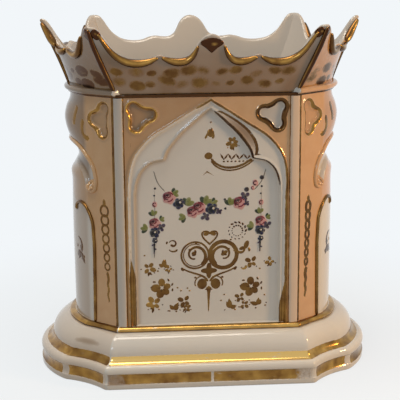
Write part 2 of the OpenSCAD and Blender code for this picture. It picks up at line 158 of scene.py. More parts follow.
def spline(knots: Iterable[tuple[float, ...]], count: int) -> Array:
    """A smooth path through knots: cubic Hermite pieces whose slopes join each knot's neighbours.

    Args:
        knots: The points that the path goes through.
        count: How many points to give.

    Returns:
        The points, evenly spaced along the knots' chords.
    """
    points = np.asarray(knots, float)
    along = lengths(points)
    slope = np.gradient(points, along, axis=0)
    at = np.linspace(0.0, along[-1], count)
    k = np.clip(np.searchsorted(along, at, side="right") - 1, 0, len(points) - 2)
    span = (along[k + 1] - along[k])[:, None]
    t = ((at - along[k]) / span[:, 0])[:, None]
    rise = t * t * (3.0 - 2.0 * t)
    return (mix(points[k], points[k + 1], rise)
            + span * t * (1.0 - t) * ((1.0 - t) * slope[k] - t * slope[k + 1]))


def signed_distance(a: Array, b: Array, loop: Array) -> Array:
    """Distance of points (a, b) to a closed outline, positive inside.

    The distance is the least to any segment, and a point is inside when a ray crosses the outline an odd
    number of times.

    Args:
        a: First coordinate of the points.
        b: Second coordinate of the points.
        loop: The outline's corners, one row each.

    Returns:
        The signed distance, shaped like a.
    """
    least = np.full(a.shape, np.inf)
    inside = np.zeros(a.shape, bool)
    for (pa, pb), (qa, qb) in zip(loop, np.roll(loop, -1, axis=0)):
        da, db = qa - pa, qb - pb
        square = da * da + db * db
        if square < 1e-12:
            continue
        t = np.clip(((a - pa) * da + (b - pb) * db) / square, 0.0, 1.0)
        least = np.minimum(least, (a - pa - t * da) ** 2 + (b - pb - t * db) ** 2)
        if db:
            inside ^= ((pb > b) != (qb > b)) & (a < pa + (b - pb) * da / db)
    return np.sqrt(least) * np.where(inside, 1.0, -1.0)


def hollow(relief: Array, passes: int) -> Array:
    """How far each point of a relief lies below the average around it, in millimetres.

    Args:
        relief: Heights on a grid.
        passes: How often each height is averaged with its four neighbours.

    Returns:
        The blurred relief less the relief.
    """
    blurred = relief
    for _ in range(passes):
        wide = np.pad(blurred, 1, mode="edge")
        blurred = (wide[:-2, 1:-1] + wide[2:, 1:-1] + wide[1:-1, :-2] + wide[1:-1, 2:]) / 4.0
    return blurred - relief


def linear(hex_colour: str) -> tuple[float, float, float, float]:
    """Turn an sRGB hex value into linear light, by the sRGB curve.

    Args:
        hex_colour: The colour as #rrggbb.

    Returns:
        Red, green, blue and an alpha of one.
    """
    srgb = np.array([int(hex_colour[i : i + 2], 16) / 255.0 for i in (1, 3, 5)])
    value = np.where(srgb <= 0.04045, srgb / 12.92, ((srgb + 0.055) / 1.055) ** 2.4)
    return (*value.tolist(), 1.0)


def plug(tree: bpy.types.NodeTree, node: bpy.types.Node, inputs: dict) -> None:
    """Link or set a node's inputs.

    Args:
        tree: The node tree that holds the node.
        node: The node.
        inputs: Each input's name or number, with a socket to link or a value to set.
    """
    for name, value in inputs.items():
        if isinstance(value, Socket):
            tree.links.new(value, node.inputs[name])
        else:
            node.inputs[name].default_value = value


def put(tree: bpy.types.NodeTree, kind: str, inputs: dict | None = None, **settings: str) -> bpy.types.Node:
    """Add a node with its settings, and link or set its inputs.

    Args:
        tree: The node tree that takes the node.
        kind: The node's type name.
        inputs: Each input's name or number, with a socket to link or a value to set.
        **settings: Properties of the node.

    Returns:
        The new node.
    """
    node = tree.nodes.new(kind)
    for name, value in settings.items():
        setattr(node, name, value)
    plug(tree, node, inputs or {})
    return node


def in_mm(box: Iterable[Iterable[float]]) -> tuple[Array, Array]:
    """Low and high corner of a node's box in millimetres."""
    low, high = (np.array(corner) / MM for corner in box)
    return low, high


def link(name: str, data: bpy.types.ID) -> bpy.types.Object:
    """Make an object and put it in the scene.

    Args:
        name: The object's name.
        data: Its mesh, camera or light.

    Returns:
        The object.
    """
    made = bpy.data.objects.new(name, data)
    bpy.context.scene.collection.objects.link(made)
    return made


def refinish(node: bpy.types.Object, material: Material) -> None:
    """Give a node of the frame a finish in place of its own."""
    node.data.materials.clear()
    node.data.materials.append(material)


def grid_faces(rows: int, columns: int, wrap_rows: bool, wrap_columns: bool) -> Array:
    """Corner numbers of the quads of a grid of points.

    Args:
        rows: Rows of points.
        columns: Points in each row.
        wrap_rows: Whether the last row joins the first.
        wrap_columns: Whether the last column joins the first.

    Returns:
        Four numbers a quad.
    """
    index = np.arange(rows * columns).reshape(rows, columns)
    if wrap_rows:
        index = np.vstack((index, index[:1]))
    if wrap_columns:
        index = np.hstack((index, index[:, :1]))
    return np.stack((index[:-1, :-1], index[:-1, 1:], index[1:, 1:], index[1:, :-1]), axis=-1).reshape(-1, 4)


@dataclass
class Skin:
    """A closed surface in millimetres: its points, its quads and the fields painted on its points."""

    points: Array
    quads: Array
    fields: dict[str, Array] = field(default_factory=dict)

    @classmethod
    def ring(cls, grid: Array, fields: dict[str, Array] | None = None, capped: bool = False) -> "Skin":
        """A surface that closes along its columns, and along its rows unless it ends in poles.

        Args:
            grid: Points by row and column.
            fields: Painted fields by row and column.
            capped: Whether the first and last rows are poles.

        Returns:
            The closed surface.
        """
        rows, columns = grid.shape[:2]
        painted = {k: v.reshape(rows * columns, -1) for k, v in (fields or {}).items()}
        return cls(grid.reshape(-1, 3), grid_faces(rows, columns, not capped, True), painted)

    @classmethod
    def slab(cls, outer: Array, inner: Array, fields: dict[str, Array], smoke_and_shade: float = 0.0) -> "Skin":
        """A wall between an outer and an inner grid of the same shape, closed round all four edges.

        Args:
            outer: Points of the outer face by row and column.
            inner: Points of the inner face, each behind its outer point.
            fields: Painted fields of the outer face; the inner face is left bare.
            smoke_and_shade: How far the inner face is browned, by lamp smoke and by painted shade.

        Returns:
            The closed surface.
        """
        rows, columns = outer.shape[:2]
        round_trip = np.concatenate((outer, inner[:, ::-1]), axis=1)
        index = np.arange(rows * columns * 2).reshape(rows, columns * 2)
        front, back = index[:, :columns], index[:, :columns - 1 : -1]
        caps = [np.stack((front[r, :-1], front[r, 1:], back[r, 1:], back[r, :-1]), axis=-1) for r in (0, -1)]
        quads = np.concatenate((grid_faces(rows, columns * 2, False, True), *caps))
        painted = {}
        for name, value in fields.items():
            bare = np.full_like(value, {"gilt": BARE, "ground": BARE, "soil": smoke_and_shade}.get(name, 0.0))
            painted[name] = np.concatenate((value, bare[:, ::-1]), axis=1).reshape(rows * columns * 2, -1)
        return cls(round_trip.reshape(-1, 3), quads, painted)

    @classmethod
    def join(cls, skins: Iterable["Skin"]) -> "Skin":
        """Put several surfaces with the same fields into one.

        Args:
            skins: The surfaces.

        Returns:
            One surface with all their points.
        """
        skins = list(skins)
        starts = np.cumsum([0] + [len(s.points) for s in skins[:-1]])
        return cls(np.concatenate([s.points for s in skins]),
                   np.concatenate([s.quads + n for s, n in zip(skins, starts)]),
                   {k: np.concatenate([s.fields[k] for s in skins]) for k in skins[0].fields})

    def mirrored(self, *signs: float) -> "Skin":
        """The surface with each axis kept or mirrored by its sign."""
        return Skin(self.points * signs, self.quads, self.fields)

    def turned(self, sign: int) -> "Skin":
        """The surface as it is, or turned half a turn about the upright axis when the sign is negative."""
        return self.mirrored(sign, sign, 1.0)

    def piece(self, name: str, slot: str, material: Material, body: str = STAND,
              replaces: Iterable[str] = ()) -> bpy.types.Object:
        """Make the mesh object, let it ride on its body and stand for its nodes.

        Args:
            name: The piece's name.
            slot: The name of a material slot; not used.
            material: The finish.
            body: The body that the piece moves with.
            replaces: Nodes that the piece stands for.

        Returns:
            The object, at the origin with its place in its mesh.
        """
        mesh = bpy.data.meshes.new(name)
        mesh.from_pydata(self.points * MM, [], self.quads.tolist())
        for field_name, value in self.fields.items():
            kind, key = ("FLOAT", "value") if value.shape[1] == 1 else ("FLOAT_COLOR", "color")
            layer = mesh.attributes.new(field_name, kind, "POINT")
            layer.data.foreach_set(key, value.astype(np.float32).ravel())
        work = bmesh.new()
        work.from_mesh(mesh)
        bmesh.ops.remove_doubles(work, verts=work.verts, dist=2e-7)
        bmesh.ops.recalc_face_normals(work, faces=work.faces)
        work.to_mesh(mesh)
        work.free()
        mesh.shade_smooth()
        mesh.set_sharp_from_angle(angle=math.radians(48.0))
        mesh.materials.append(material)
        made = link(name, mesh)
        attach(made, body)
        if replaces:
            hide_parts(*replaces)
        LOG.info("%s: %d points, %d faces", name, len(mesh.vertices), len(mesh.polygons))
        return made


def tube(path: Array, up: Array, radius: Array, sides: int) -> Array:
    """Points of a round cord: a circle carried square to a path.

    Each ring is the path's point plus radius times (across cos + lift sin).

    Args:
        path: The path's points.
        up: A direction at each point that the lift leans to.
        radius: Radius at each point.
        sides: Points round each ring.

    Returns:
        Points by ring and side.
    """
    run = unit(np.gradient(path, axis=0))
    across = unit(np.cross(run, up))
    lift = np.cross(across, run)
    angle = around(sides)[None, :, None]
    circle = across[:, None] * np.cos(angle) + lift[:, None] * np.sin(angle)
    return path[:, None] + radius[:, None, None] * circle


def rounded(count: int, thick: float, tip: float, power: float) -> Array:
    """Radii of a cord that swells to the middle and closes to a point at each end, as sin(pi t) to a power.

    Args:
        count: How many radii to give.
        thick: The middle's radius.
        tip: The radius beside each end.
        power: How fast the ends close; less is blunter.

    Returns:
        The radii.
    """
    body = mix(tip, thick, np.sin(math.pi * np.linspace(0.0, 1.0, count)) ** power)
    body[[0, -1]] = 0.0
    return body


class Coat:
    """A finish in the making: a new material, and short ways to add its nodes."""

    def __init__(self, name: str) -> None:
        """Start a material.

        Args:
            name: The material's name.
        """
        self.material = bpy.data.materials.new(name)
        self.material.use_nodes = True
        self.tree = self.material.node_tree
        self.where = put(self.tree, "ShaderNodeTexCoord").outputs["Object"]

    def painted(self, name: str, output: str = "Fac") -> Socket:
        """A field that is painted on the points."""
        return put(self.tree, "ShaderNodeAttribute", attribute_name=name).outputs[output]

    def noise(self, size: float, detail: float, flatten: float = 1.0) -> Socket:
        """Noise with grains of a size.

        Args:
            size: The grains' size in millimetres.
            detail: How many finer layers it has.
            flatten: How much lower than wide the grains are, which makes streaks.

        Returns:
            The noise's socket.
        """
        squash = put(self.tree, "ShaderNodeMapping", {"Vector": self.where, "Scale": (1.0, 1.0, flatten)})
        grain = {"Vector": squash.outputs[0], "Scale": 1.0 / (size * MM), "Detail": detail}
        return put(self.tree, "ShaderNodeTexNoise", grain).outputs["Fac"]

    def ramp(self, value: Socket, low: float = 0.0, high: float = 1.0, to_low: float = 0.0,
             to_high: float = 1.0) -> Socket:
        """A value carried from one range to another and held at its ends."""
        ends = {"From Min": low, "From Max": high, "To Min": to_low, "To Max": to_high}
        return put(self.tree, "ShaderNodeMapRange", {"Value": value, **ends}).outputs[0]

    def work(self, operation: str, *terms: Socket | float) -> Socket:
        """The result of an operation on its terms."""
        return put(self.tree, "ShaderNodeMath", dict(enumerate(terms)), operation=operation).outputs[0]

    def blend(self, share: Socket, first: Socket | str, second: Socket | str) -> Socket:
        """A colour blended into another; each is a socket or an sRGB hex value."""
        ends = {k: linear(v) if isinstance(v, str) else v for k, v in (("A", first), ("B", second))}
        return put(self.tree, "ShaderNodeMix", {"Factor": share, **ends}, data_type="RGBA").outputs["Result"]

    def ripple(self, height: Socket, strength: float, depth: float) -> Socket:
        """A normal that follows a height, with its depth in millimetres."""
        waves = {"Height": height, "Strength": strength, "Distance": depth * MM}
        return put(self.tree, "ShaderNodeBump", waves).outputs[0]

    def done(self, inputs: dict[str, Socket | float]) -> Material:
        """Link or set the shader's inputs, and give the material."""
        plug(self.tree, self.tree.nodes["Principled BSDF"], inputs)
        return self.material


@dataclass(frozen=True)
class Finish:
    """What the glazed surfaces share: glaze colours, enamel ground, gilding and their wear."""

    glaze: str = "#dcd6ca"
    glaze_cool: str = "#d3d1cb"
    # Brown of dirt and of painted shade.
    soil: str = "#86622f"
    apricot: str = "#d8b080"
    apricot_deep: str = "#c99a62"
    gold: str = "#b68c48"
    gold_dark: str = "#7a5529"
    gold_thick: str = "#43291a"
    gold_pale: str = "#d3ae68"
    glaze_rough: float = 0.06
    gold_rough: float = 0.2
    cloud_mm: float = 30.0
    mottle_mm: float = 7.0
    wear_mm: float = 2.6
    streak: float = 5.0
    ripple_mm: float = 9.0
    wash_mm: float = 1.6

    def leaf_colour(self, coat: Coat, mottle: Socket, wear: Socket) -> Socket:
        """Colour of gold leaf: clouds of bright and brown, umber where it is thick, pale where it is rubbed.

        Args:
            coat: The finish in the making.
            mottle: A noise that sets the clouds.
            wear: From -1, a thick unburnished coat, over 0, bright leaf, to 1, bare glaze.

        Returns:
            The colour's socket.
        """
        gold = coat.blend(coat.ramp(mottle, 0.32, 0.68), self.gold, self.gold_dark)
        pale = coat.blend(coat.ramp(wear, 0.0, 0.3), gold, self.gold_pale)
        return coat.blend(coat.ramp(wear, 0.0, -1.0), pale, self.gold_thick)

    def porcelain(self) -> Material:
        """Hard-paste porcelain, press-moulded and glazed: a deep wet gloss over a warm white.

        Fields in millimetres say where the apricot enamel and the gold leaf lie; the gold's edge is broken
        where hands have rubbed it, brown dirt and painted shade darken the glaze, and apricot is laid on as a
        painted warm light.

        Returns:
            The material.
        """
        coat = Coat("glazed_hard_paste_porcelain")
        gilt, ground, soil, wear, blush = map(coat.painted, ("gilt", "ground", "soil", "wear", "blush"))
        mottle = coat.noise(self.mottle_mm, 4.0)
        rub = coat.work("SUBTRACT", coat.noise(self.wear_mm, 5.0), 0.5)
        glaze = coat.blend(coat.noise(self.cloud_mm, 2.0), self.glaze, self.glaze_cool)
        apricot = coat.blend(mottle, self.apricot, self.apricot_deep)
        laid = coat.ramp(coat.work("MULTIPLY_ADD", rub, 1.2, ground), -0.15, 0.25)
        # Apricot mixed in as a painted warm light.
        body = coat.blend(blush, coat.blend(laid, glaze, apricot), apricot)
        # Brown dirt and painted shade.
        soiled_and_shaded = coat.blend(soil, body, self.soil)
        shape = coat.ramp(coat.work("MULTIPLY_ADD", rub, 0.5, gilt), -0.1, 0.15)
        streak = coat.noise(self.mottle_mm, 4.0, self.streak)
        kept = coat.ramp(coat.work("SUBTRACT", streak, coat.ramp(wear, 0.3, 1.0, 0.2, 0.8)), -0.15, 0.15)
        leaf = coat.work("MULTIPLY", shape, kept)
        return coat.done({"Base Color": coat.blend(leaf, soiled_and_shaded, self.leaf_colour(coat, mottle, wear)),
                          "Metallic": leaf,
                          "Roughness": coat.ramp(leaf, to_low=self.glaze_rough, to_high=self.gold_rough),
                          "Normal": coat.ripple(coat.noise(self.ripple_mm, 1.0), 0.12, 0.4),
                          "IOR": 1.52})

    def plain(self) -> Material:
        """Plain glaze inside the stand, dulled by lamp smoke: a soft gloss with faint brown clouds.

        Returns:
            The material.
        """
        coat = Coat("smoked_plain_glaze")
        cloud = coat.noise(self.cloud_mm, 3.0)
        smoke_and_shade = coat.ramp(cloud, 0.45, 0.9, to_high=0.35)
        return coat.done({"Base Color": coat.blend(smoke_and_shade, self.glaze, self.soil),
                          "Roughness": coat.ramp(cloud, to_low=0.12, to_high=0.4)})

    def gilding(self) -> Material:
        """Gold leaf fired on and burnished: bright on the swells, brown where the coat is thick.

        Returns:
            The material.
        """
        coat = Coat("burnished_leaf_gold")
        mottle, rub = coat.noise(self.mottle_mm, 4.0), coat.noise(self.wear_mm, 5.0)
        wear = coat.painted("wear")
        bare = coat.ramp(coat.work("MULTIPLY_ADD", rub, -0.8, wear), -0.14, 0.16)
        dull, bright = self.gold_rough + 0.14, self.gold_rough - 0.08
        return coat.done({"Base Color": coat.blend(bare, self.leaf_colour(coat, mottle, wear), self.glaze),
                          "Metallic": coat.work("SUBTRACT", 1.0, bare),
                          "Roughness": coat.ramp(mottle, to_low=bright, to_high=dull),
                          "Normal": coat.ripple(rub, 0.1, 0.2)})

    def enamel(self) -> Material:
        """Painter's enamel fired over the glaze: soft-edged colour with a low gloss and a slight thickness.

        Returns:
            The material.
        """
        coat = Coat("painted_overglaze_enamel")
        wash = coat.noise(self.wash_mm, 3.0)
        thin = coat.ramp(wash, 0.5, 0.85, to_high=0.2)
        return coat.done({"Base Color": coat.blend(thin, coat.painted("pigment", "Color"), self.glaze),
                          "Roughness": coat.ramp(wash, to_low=0.18, to_high=0.4),
                          "Specular IOR Level": 0.25})


@dataclass(frozen=True)
class Plan:
    """The stand's plan and levels in millimetres, taken from the frame where a node gives them."""

    panel_half: float
    face: float
    wall: float
    wall_low: float
    wall_top: float
    foot_end: float
    foot_face: float
    crown_low: float
    crown_top: float
    corner_top: float
    tip_x: float
    tip_y: float
    tip_end: float
    colonnette_w: float = 5.0
    pilaster_run: float = 15.8
    pilaster_set: float = 13.0
    end_bow: float = 9.7
    corner_spread: float = 8.7
    side_spread: float = 15.9
    side_set: float = 10.0
    scoop: float = 2.4
    lean_from: float = 13.0
    lean_rise: float = 0.015
    corner_passes: int = 5

    @classmethod
    def measure(cls) -> "Plan":
        """Read the sizes that the frame's nodes give.

        Returns:
            The plan.
        """
        panel_lo, panel_hi = in_mm(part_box("front_panel"))
        _, foot_hi = in_mm(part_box("plinth_foot"))
        crown_lo, crown_hi = in_mm(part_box("crown_front"))
        _, cant_hi = in_mm(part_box("crown_front_right"))
        return cls(panel_hi[0], -panel_lo[1], panel_hi[1] - panel_lo[1], panel_lo[2], panel_hi[2], foot_hi[0],
                   foot_hi[1], crown_lo[2], cant_hi[2], crown_hi[2], crown_hi[0], -crown_lo[1], cant_hi[0])

    def lean(self, z: Array) -> Array:
        """How far the niche's painting lies right of true at a level."""
        return self.lean_rise * (z - self.lean_from)

    @property
    def corner(self) -> Array:
        """Where a flat face meets a pilaster."""
        return np.array((self.panel_half + self.colonnette_w, self.face))

    @property
    def side(self) -> Array:
        """Where a pilaster meets a bowed end."""
        return self.corner + (self.pilaster_run, -self.pilaster_set)

    @property
    def end(self) -> float:
        """How far a bowed end reaches."""
        return self.side[0] + self.end_bow

    @property
    def reach(self) -> float:
        """How far the plinth stands out from a flat face."""
        return self.foot_face - self.face

    @staticmethod
    def arc(a: Array, b: Array, rise: Array, q: Array) -> Array:
        """Circular arcs from a to b that swell by a rise to the right of the way there.

        With half-chord h, x = h(2q - 1) and radius R = (h^2 + rise^2) / 2 rise, a point lies
        (h^2 - x^2) / (sqrt(R^2 - x^2) + sqrt(R^2 - h^2)) off the chord.

        Args:
            a: Start points, one row each.
            b: End points.
            rise: Height of each arc over its chord; negative arcs are hollow.
            q: Shares along the chord.

        Returns:
            Points by arc and share.
        """
        chord = b - a
        half = np.linalg.norm(chord, axis=1)[:, None] / 2.0
        rise = np.where(np.abs(rise) < 1e-6, 1e-6, rise)[:, None]
        radius = (half**2 + rise**2) / (2.0 * np.abs(rise))
        x = half * (2.0 * q - 1.0)
        swell = (half**2 - x**2) / (np.sqrt(radius**2 - x**2) + np.sqrt(radius**2 - half**2))
        normal = np.stack((chord[:, 1], -chord[:, 0]), axis=1) / (2.0 * half)
        off = (np.sign(rise) * swell)[..., None] * normal[:, None]
        return a[:, None] + chord[:, None] * q[None, :, None] + off

    def sections(self) -> tuple[Array, Array]:
        """Count an outline's columns off into its eight sections.

        Returns:
            Each column's section number, and its share along that section.
        """
        counts = (132, 48, 96, 48) * 2
        number = np.repeat(np.arange(8), counts)
        share = np.concatenate([np.linspace(0.0, 1.0, n, endpoint=False) for n in counts])
        return number, share

    def outline(self, share: Array) -> Array:
        """Closed plan rings, anticlockwise from the front left corner, one for each share.

        A share of 0 is the wall's face and 1 the foot's edge. Each ring is two flats, four hollow cants and
        two bows, and its corners are eased by averaging neighbours.

        Args:
            share: How far out each ring lies.

        Returns:
            Points by ring and column.
        """
        share = np.asarray(share, float)
        front = self.corner + share[:, None] * (self.corner_spread, self.reach)
        side = self.side + share[:, None] * (self.side_spread, self.side_set)
        bow = self.end + share * (self.foot_end - self.end) - side[:, 0]
        flat, cant = np.zeros_like(share), -self.scoop * np.maximum(share, 0.0)
        number, along = self.sections()
        turns = ((front, (-1, -1), front, (1, -1), flat), (front, (1, -1), side, (1, -1), cant),
                 (side, (1, -1), side, (1, 1), bow), (side, (1, 1), front, (1, 1), cant),
                 (front, (1, 1), front, (-1, 1), flat), (front, (-1, 1), side, (-1, 1), cant),
                 (side, (-1, 1), side, (-1, -1), bow), (side, (-1, -1), front, (-1, -1), cant))
        ring = np.concatenate([self.arc(a * i, b * j, rise, along[number == k])
                               for k, (a, i, b, j, rise) in enumerate(turns)], axis=1)
        for _ in range(self.corner_passes):
            ring = (np.roll(ring, 1, axis=1) + 2.0 * ring + np.roll(ring, -1, axis=1)) / 4.0
        return ring

    def carried(self, out: Array, level: Array) -> Array:
        """A moulding: a profile of distances out and levels carried round the plan."""
        ring = self.outline(out / self.reach)
        return np.concatenate((ring, np.broadcast_to(level[:, None, None], (*ring.shape[:2], 1))), axis=2)


@dataclass(frozen=True)
class Moulding:
    """A stretch of a profile: control points (way out, level) after the first, a point count and gilding."""

    controls: Knots
    count: int
    gilded: bool = False


@dataclass(frozen=True)
class Profile:
    """A closed profile made of mouldings end to end, each from where the one before it stops."""

    mouldings: tuple[Moulding, ...]

    def trace(self) -> tuple[Array, Array, Array]:
        """Distances out, levels and the gilding field, which grows with the way in from a gilded edge.

        Returns:
            Three arrays, one value a point.
        """
        runs = [bezier((self.mouldings[k - 1].controls[-1], *m.controls), m.count + 1)[:-1]
                for k, m in enumerate(self.mouldings)]
        points = np.concatenate(runs)
        step = np.linalg.norm(np.roll(points, -1, axis=0) - points, axis=1)
        along = np.concatenate(([0.0], np.cumsum(step)))
        starts = np.cumsum([0] + [len(r) for r in runs])
        gilt = np.full(len(points), BARE)
        for moulding, first, last in zip(self.mouldings, starts[:-1], starts[1:]):
            if moulding.gilded:
                gilt = np.maximum(gilt, np.minimum(along[:-1] - along[first], along[last] - along[:-1]))
        return points[:, 0], points[:, 1], gilt


@dataclass
class Plinth:
    """The stepped foot of the stand, with its gilded scotia, cavetto and bead."""

    plan: Plan
    strip: float = 3.2
    band_top: float = 9.2
    ledge_low: float = 13.4
    ledge_top: float = 17.6
    bead_low: float = 28.6
    ledge_out: float = 13.0
    torus_out: float = 10.2
    bead_out: float = 1.5
    band_hollow: float = 0.8
    wall_out: float = 7.0
    floor_low: float = 25.0
    foot_step: float = 9.0
    end_gap: float = 2.2
    notch: float = 0.6
    split_at: float = 1.0
    split: float = 1.4
    fade: tuple[float, float] = (30.0, 4.0)
    # Brown at the lower band's faded ends, left and right; the left's is stronger as painted shade.
    band_end_soil_and_shade: tuple[float, float] = (0.75, 0.25)
    # Apricot laid over the left sections as a painted warm light.
    left_warm_light: float = 0.3
    # The cant whose gold is painted bright as a highlight.
    highlit_cant: int = 1
    smear_at: tuple[float, float, float] = (-73.0, -47.0, 22.4)
    smear_ahead: tuple[float, float, float] = (0.84, -0.54, 0.0)
    smear_size: tuple[float, float] = (9.0, 1.7)
    smear_near: float = 16.0
    smear_soil: float = 0.6

    def profile(self) -> Profile:
        """The plinth's section, from the foot's outer edge up, over the top and down the inside.

        Returns:
            The closed profile.
        """
        edge, inner, top = self.plan.reach, -self.plan.wall, self.plan.wall_low
        band, ledge, torus, bead_low = self.band_top, self.ledge_low, self.torus_out, self.bead_low
        dent = edge - 1.33 * self.band_hollow
        foot_in = edge - self.wall_out
        return Profile((
            Moulding(((edge, 0.0), (edge, 1.0)), 4),
            Moulding(((edge, self.strip),), 3),
            Moulding(((dent, self.strip + 0.7), (dent, band - 0.7), (edge, band)), 16, True),
            Moulding(((edge + 0.3, 12.0), (edge - 0.9, ledge), (self.ledge_out, ledge)), 12),
            Moulding(((self.ledge_out - 1.6, 13.9), (torus, 15.2), (torus, self.ledge_top)), 14, True),
            Moulding(((torus + 0.3, 24.0), (5.6, bead_low), (self.bead_out, bead_low)), 22),
            Moulding(((3.6, bead_low), (3.4, top), (0.2, top)), 14, True),
            Moulding(((inner, top),), 3),
            Moulding(((inner, self.floor_low),), 3),
            Moulding(((foot_in, self.foot_step),), 6),
            Moulding(((foot_in, 0.0),), 4),
            Moulding(((edge - 0.9, 0.0),), 4),
        ))

    def smear(self, grid: Array) -> Array:
        """Strength of a brown rub on the front left cant's torus: 1 - a^2 - b^2 about its middle, rooted.

        Args:
            grid: The plinth's points.

        Returns:
            The strength at each point.
        """
        middle = np.array(self.smear_at)
        along = (grid - middle) @ np.array(self.smear_ahead) / self.smear_size[0]
        up = (grid[..., 2] - middle[2]) / self.smear_size[1]
        near = np.linalg.norm(grid[..., :2] - middle[:2], axis=-1) < self.smear_near
        return self.smear_soil * np.sqrt(np.clip(1.0 - along**2 - up**2, 0.0, 1.0)) * near

    def build(self, finish: Material) -> None:
        """Carry the section round the plan; each face's lower gold band stops short of the face's corners.

        Args:
            finish: The glaze.
        """
        out, level, gilt = self.profile().trace()
        grid = self.plan.carried(out, level)
        number, share = self.plan.sections()
        edge_ring = self.plan.outline(np.ones(1))[0]
        step = np.linalg.norm(np.roll(edge_ring, -1, axis=0) - edge_ring, axis=1)
        length = np.array([step[number == k].sum() for k in range(8)])[number]
        to_corner = np.minimum(share, 1.0 - share) * length
        flat, cant = (number % 4 == 0)[None, :], (number % 2 == 1)[None, :]
        painted_highlight = number == self.highlit_cant
        gilt = np.broadcast_to(gilt[:, None], grid.shape[:2])
        fade = ease(*self.fade, to_corner)[None, :] * flat
        band = np.minimum(gilt, to_corner - self.end_gap)
        split = np.abs(grid[..., 0] - self.split_at) - self.split / 2.0
        band = np.where(flat, np.minimum(band, split), band)
        band = np.minimum(band, mix(1.2, -0.03, fade))
        low = ((level < self.band_top) & (level > 0.0))[:, None]
        gilt = np.where(low, band, np.where(flat, np.minimum(gilt, to_corner - self.notch), gilt))
        # The highlit cant's gold is painted bright as a highlight; the other cants' gold is painted darker as
        # shade.
        band_wear = np.where(painted_highlight, 0.0, mix(-0.3, -0.35, cant))
        line_wear = flat * np.where(level > self.bead_low, 0.1, 0.3)[:, None]
        wear = np.where(low, band_wear, np.where(cant, np.where(painted_highlight, 0.0, -0.45), line_wear))
        # Painted shade in the hollows of the profile.
        soil = np.clip(hollow(np.broadcast_to(out[:, None], grid.shape[:2]), 6) * 0.35, 0.0, 0.5)
        # Brown where the lower band's gold fades at the corners, stronger on the left as painted shade.
        browned_and_shaded = np.where(grid[..., 0] < 0.0, *self.band_end_soil_and_shade) * fade * (low & (gilt > -0.5))
        # Apricot over the left sections as a painted warm light.
        blush = np.broadcast_to(self.left_warm_light * (number > 4)[None, :], gilt.shape)
        soil = soil + self.smear(grid) + browned_and_shaded
        ground = np.full(gilt.shape, BARE)
        fields = {"gilt": gilt, "ground": ground, "soil": soil, "wear": wear, "blush": blush}
        Skin.ring(grid, fields).piece("plinth", "white_porcelain", finish,
                                      replaces=("plinth_foot", "plinth_moulding"))


@dataclass
class Cornice:
    """The band under the crown: a half round on the ends, a gilded fillet on the flats.

    The left and right are numbers of the plan's sections: the left darkened as painted shade, the right under
    apricot enamel.
    """

    plan: Plan
    over: float = 1.8
    fillet: float = 1.0
    line: float = 1.9
    flat_out: tuple[float, float] = (-1.6, 0.5)
    wear: float = -0.95
    left: tuple[int, ...] = (5, 6, 7)
    right: tuple[int, ...] = (1, 2)
    left_shade: float = 0.85

    def build(self, finish: Material) -> None:
        """Carry the band round the plan and draw it back on the two flats.

        Args:
            finish: The glaze.
        """
        low, top, inner = self.plan.wall_top, self.plan.crown_low, -self.plan.wall
        step, bulge = low + self.fillet, 1.5 * self.over
        profile = Profile((
            Moulding(((0.7, low), (0.7, step)), 6, True),
            Moulding(((0.2, step),), 3, True),
            Moulding(((bulge, step), (bulge, top), (0.0, top)), 18),
            Moulding(((inner, top),), 3),
            Moulding(((inner, low),), 4),
            Moulding(((0.0, low),), 3),
        ))
        out, level, gilt = profile.trace()
        grid = self.plan.carried(out, level)
        number, share = self.plan.sections()
        flat = np.where(number % 4 == 0, ease(0.0, 0.04, np.minimum(share, 1.0 - share)), 0.0)
        thin = self.plan.carried(np.minimum(out, np.where(level > low + self.line, *self.flat_out)), level)
        grid = mix(grid, thin, flat[None, :, None])
        line = np.where(out > -0.05, low + self.line - level, BARE)[:, None]
        gilt = np.where((flat > 0.3)[None, :], line, np.broadcast_to(gilt[:, None], grid.shape[:2]))
        # Painted shade in the crease under the half round, and over the left sections.
        soil = np.broadcast_to(np.clip(0.5 - 0.5 * np.abs(level - step), 0.0, 0.4)[:, None], gilt.shape)
        soil = soil + self.left_shade * np.isin(number, self.left)[None, :]
        ground = np.where(np.isin(number, self.right)[None, :], 1.0 - gilt, BARE)
        fields = {"gilt": gilt, "ground": ground, "soil": soil, "wear": np.full(gilt.shape, self.wear)}
        Skin.ring(grid, fields).piece("cornice_band", "white_porcelain", finish, replaces=("cornice",))


def trefoil(a: Array, b: Array, lobes: Iterable[tuple[float, float]], radius: float) -> Array:
    """Signed distance to three round lobes and the round between them, positive inside.

    The rounds are blended by the logarithm of summed exponentials, so that their meeting is soft.

    Args:
        a: First coordinate of the points.
        b: Second coordinate of the points.
        lobes: Centres of the lobes.
        radius: The lobes' radius.

    Returns:
        The distance, shaped like a.
    """
    soft = 1.4
    centre = np.mean(np.asarray(lobes), axis=0)
    rounds = [(*lobe, radius) for lobe in lobes] + [(*centre, 1.45 * radius)]
    total = sum(np.exp((r - np.hypot(a - ca, b - cb)) / soft) for ca, cb, r in rounds)
    return soft * np.log(total + 1e-30)


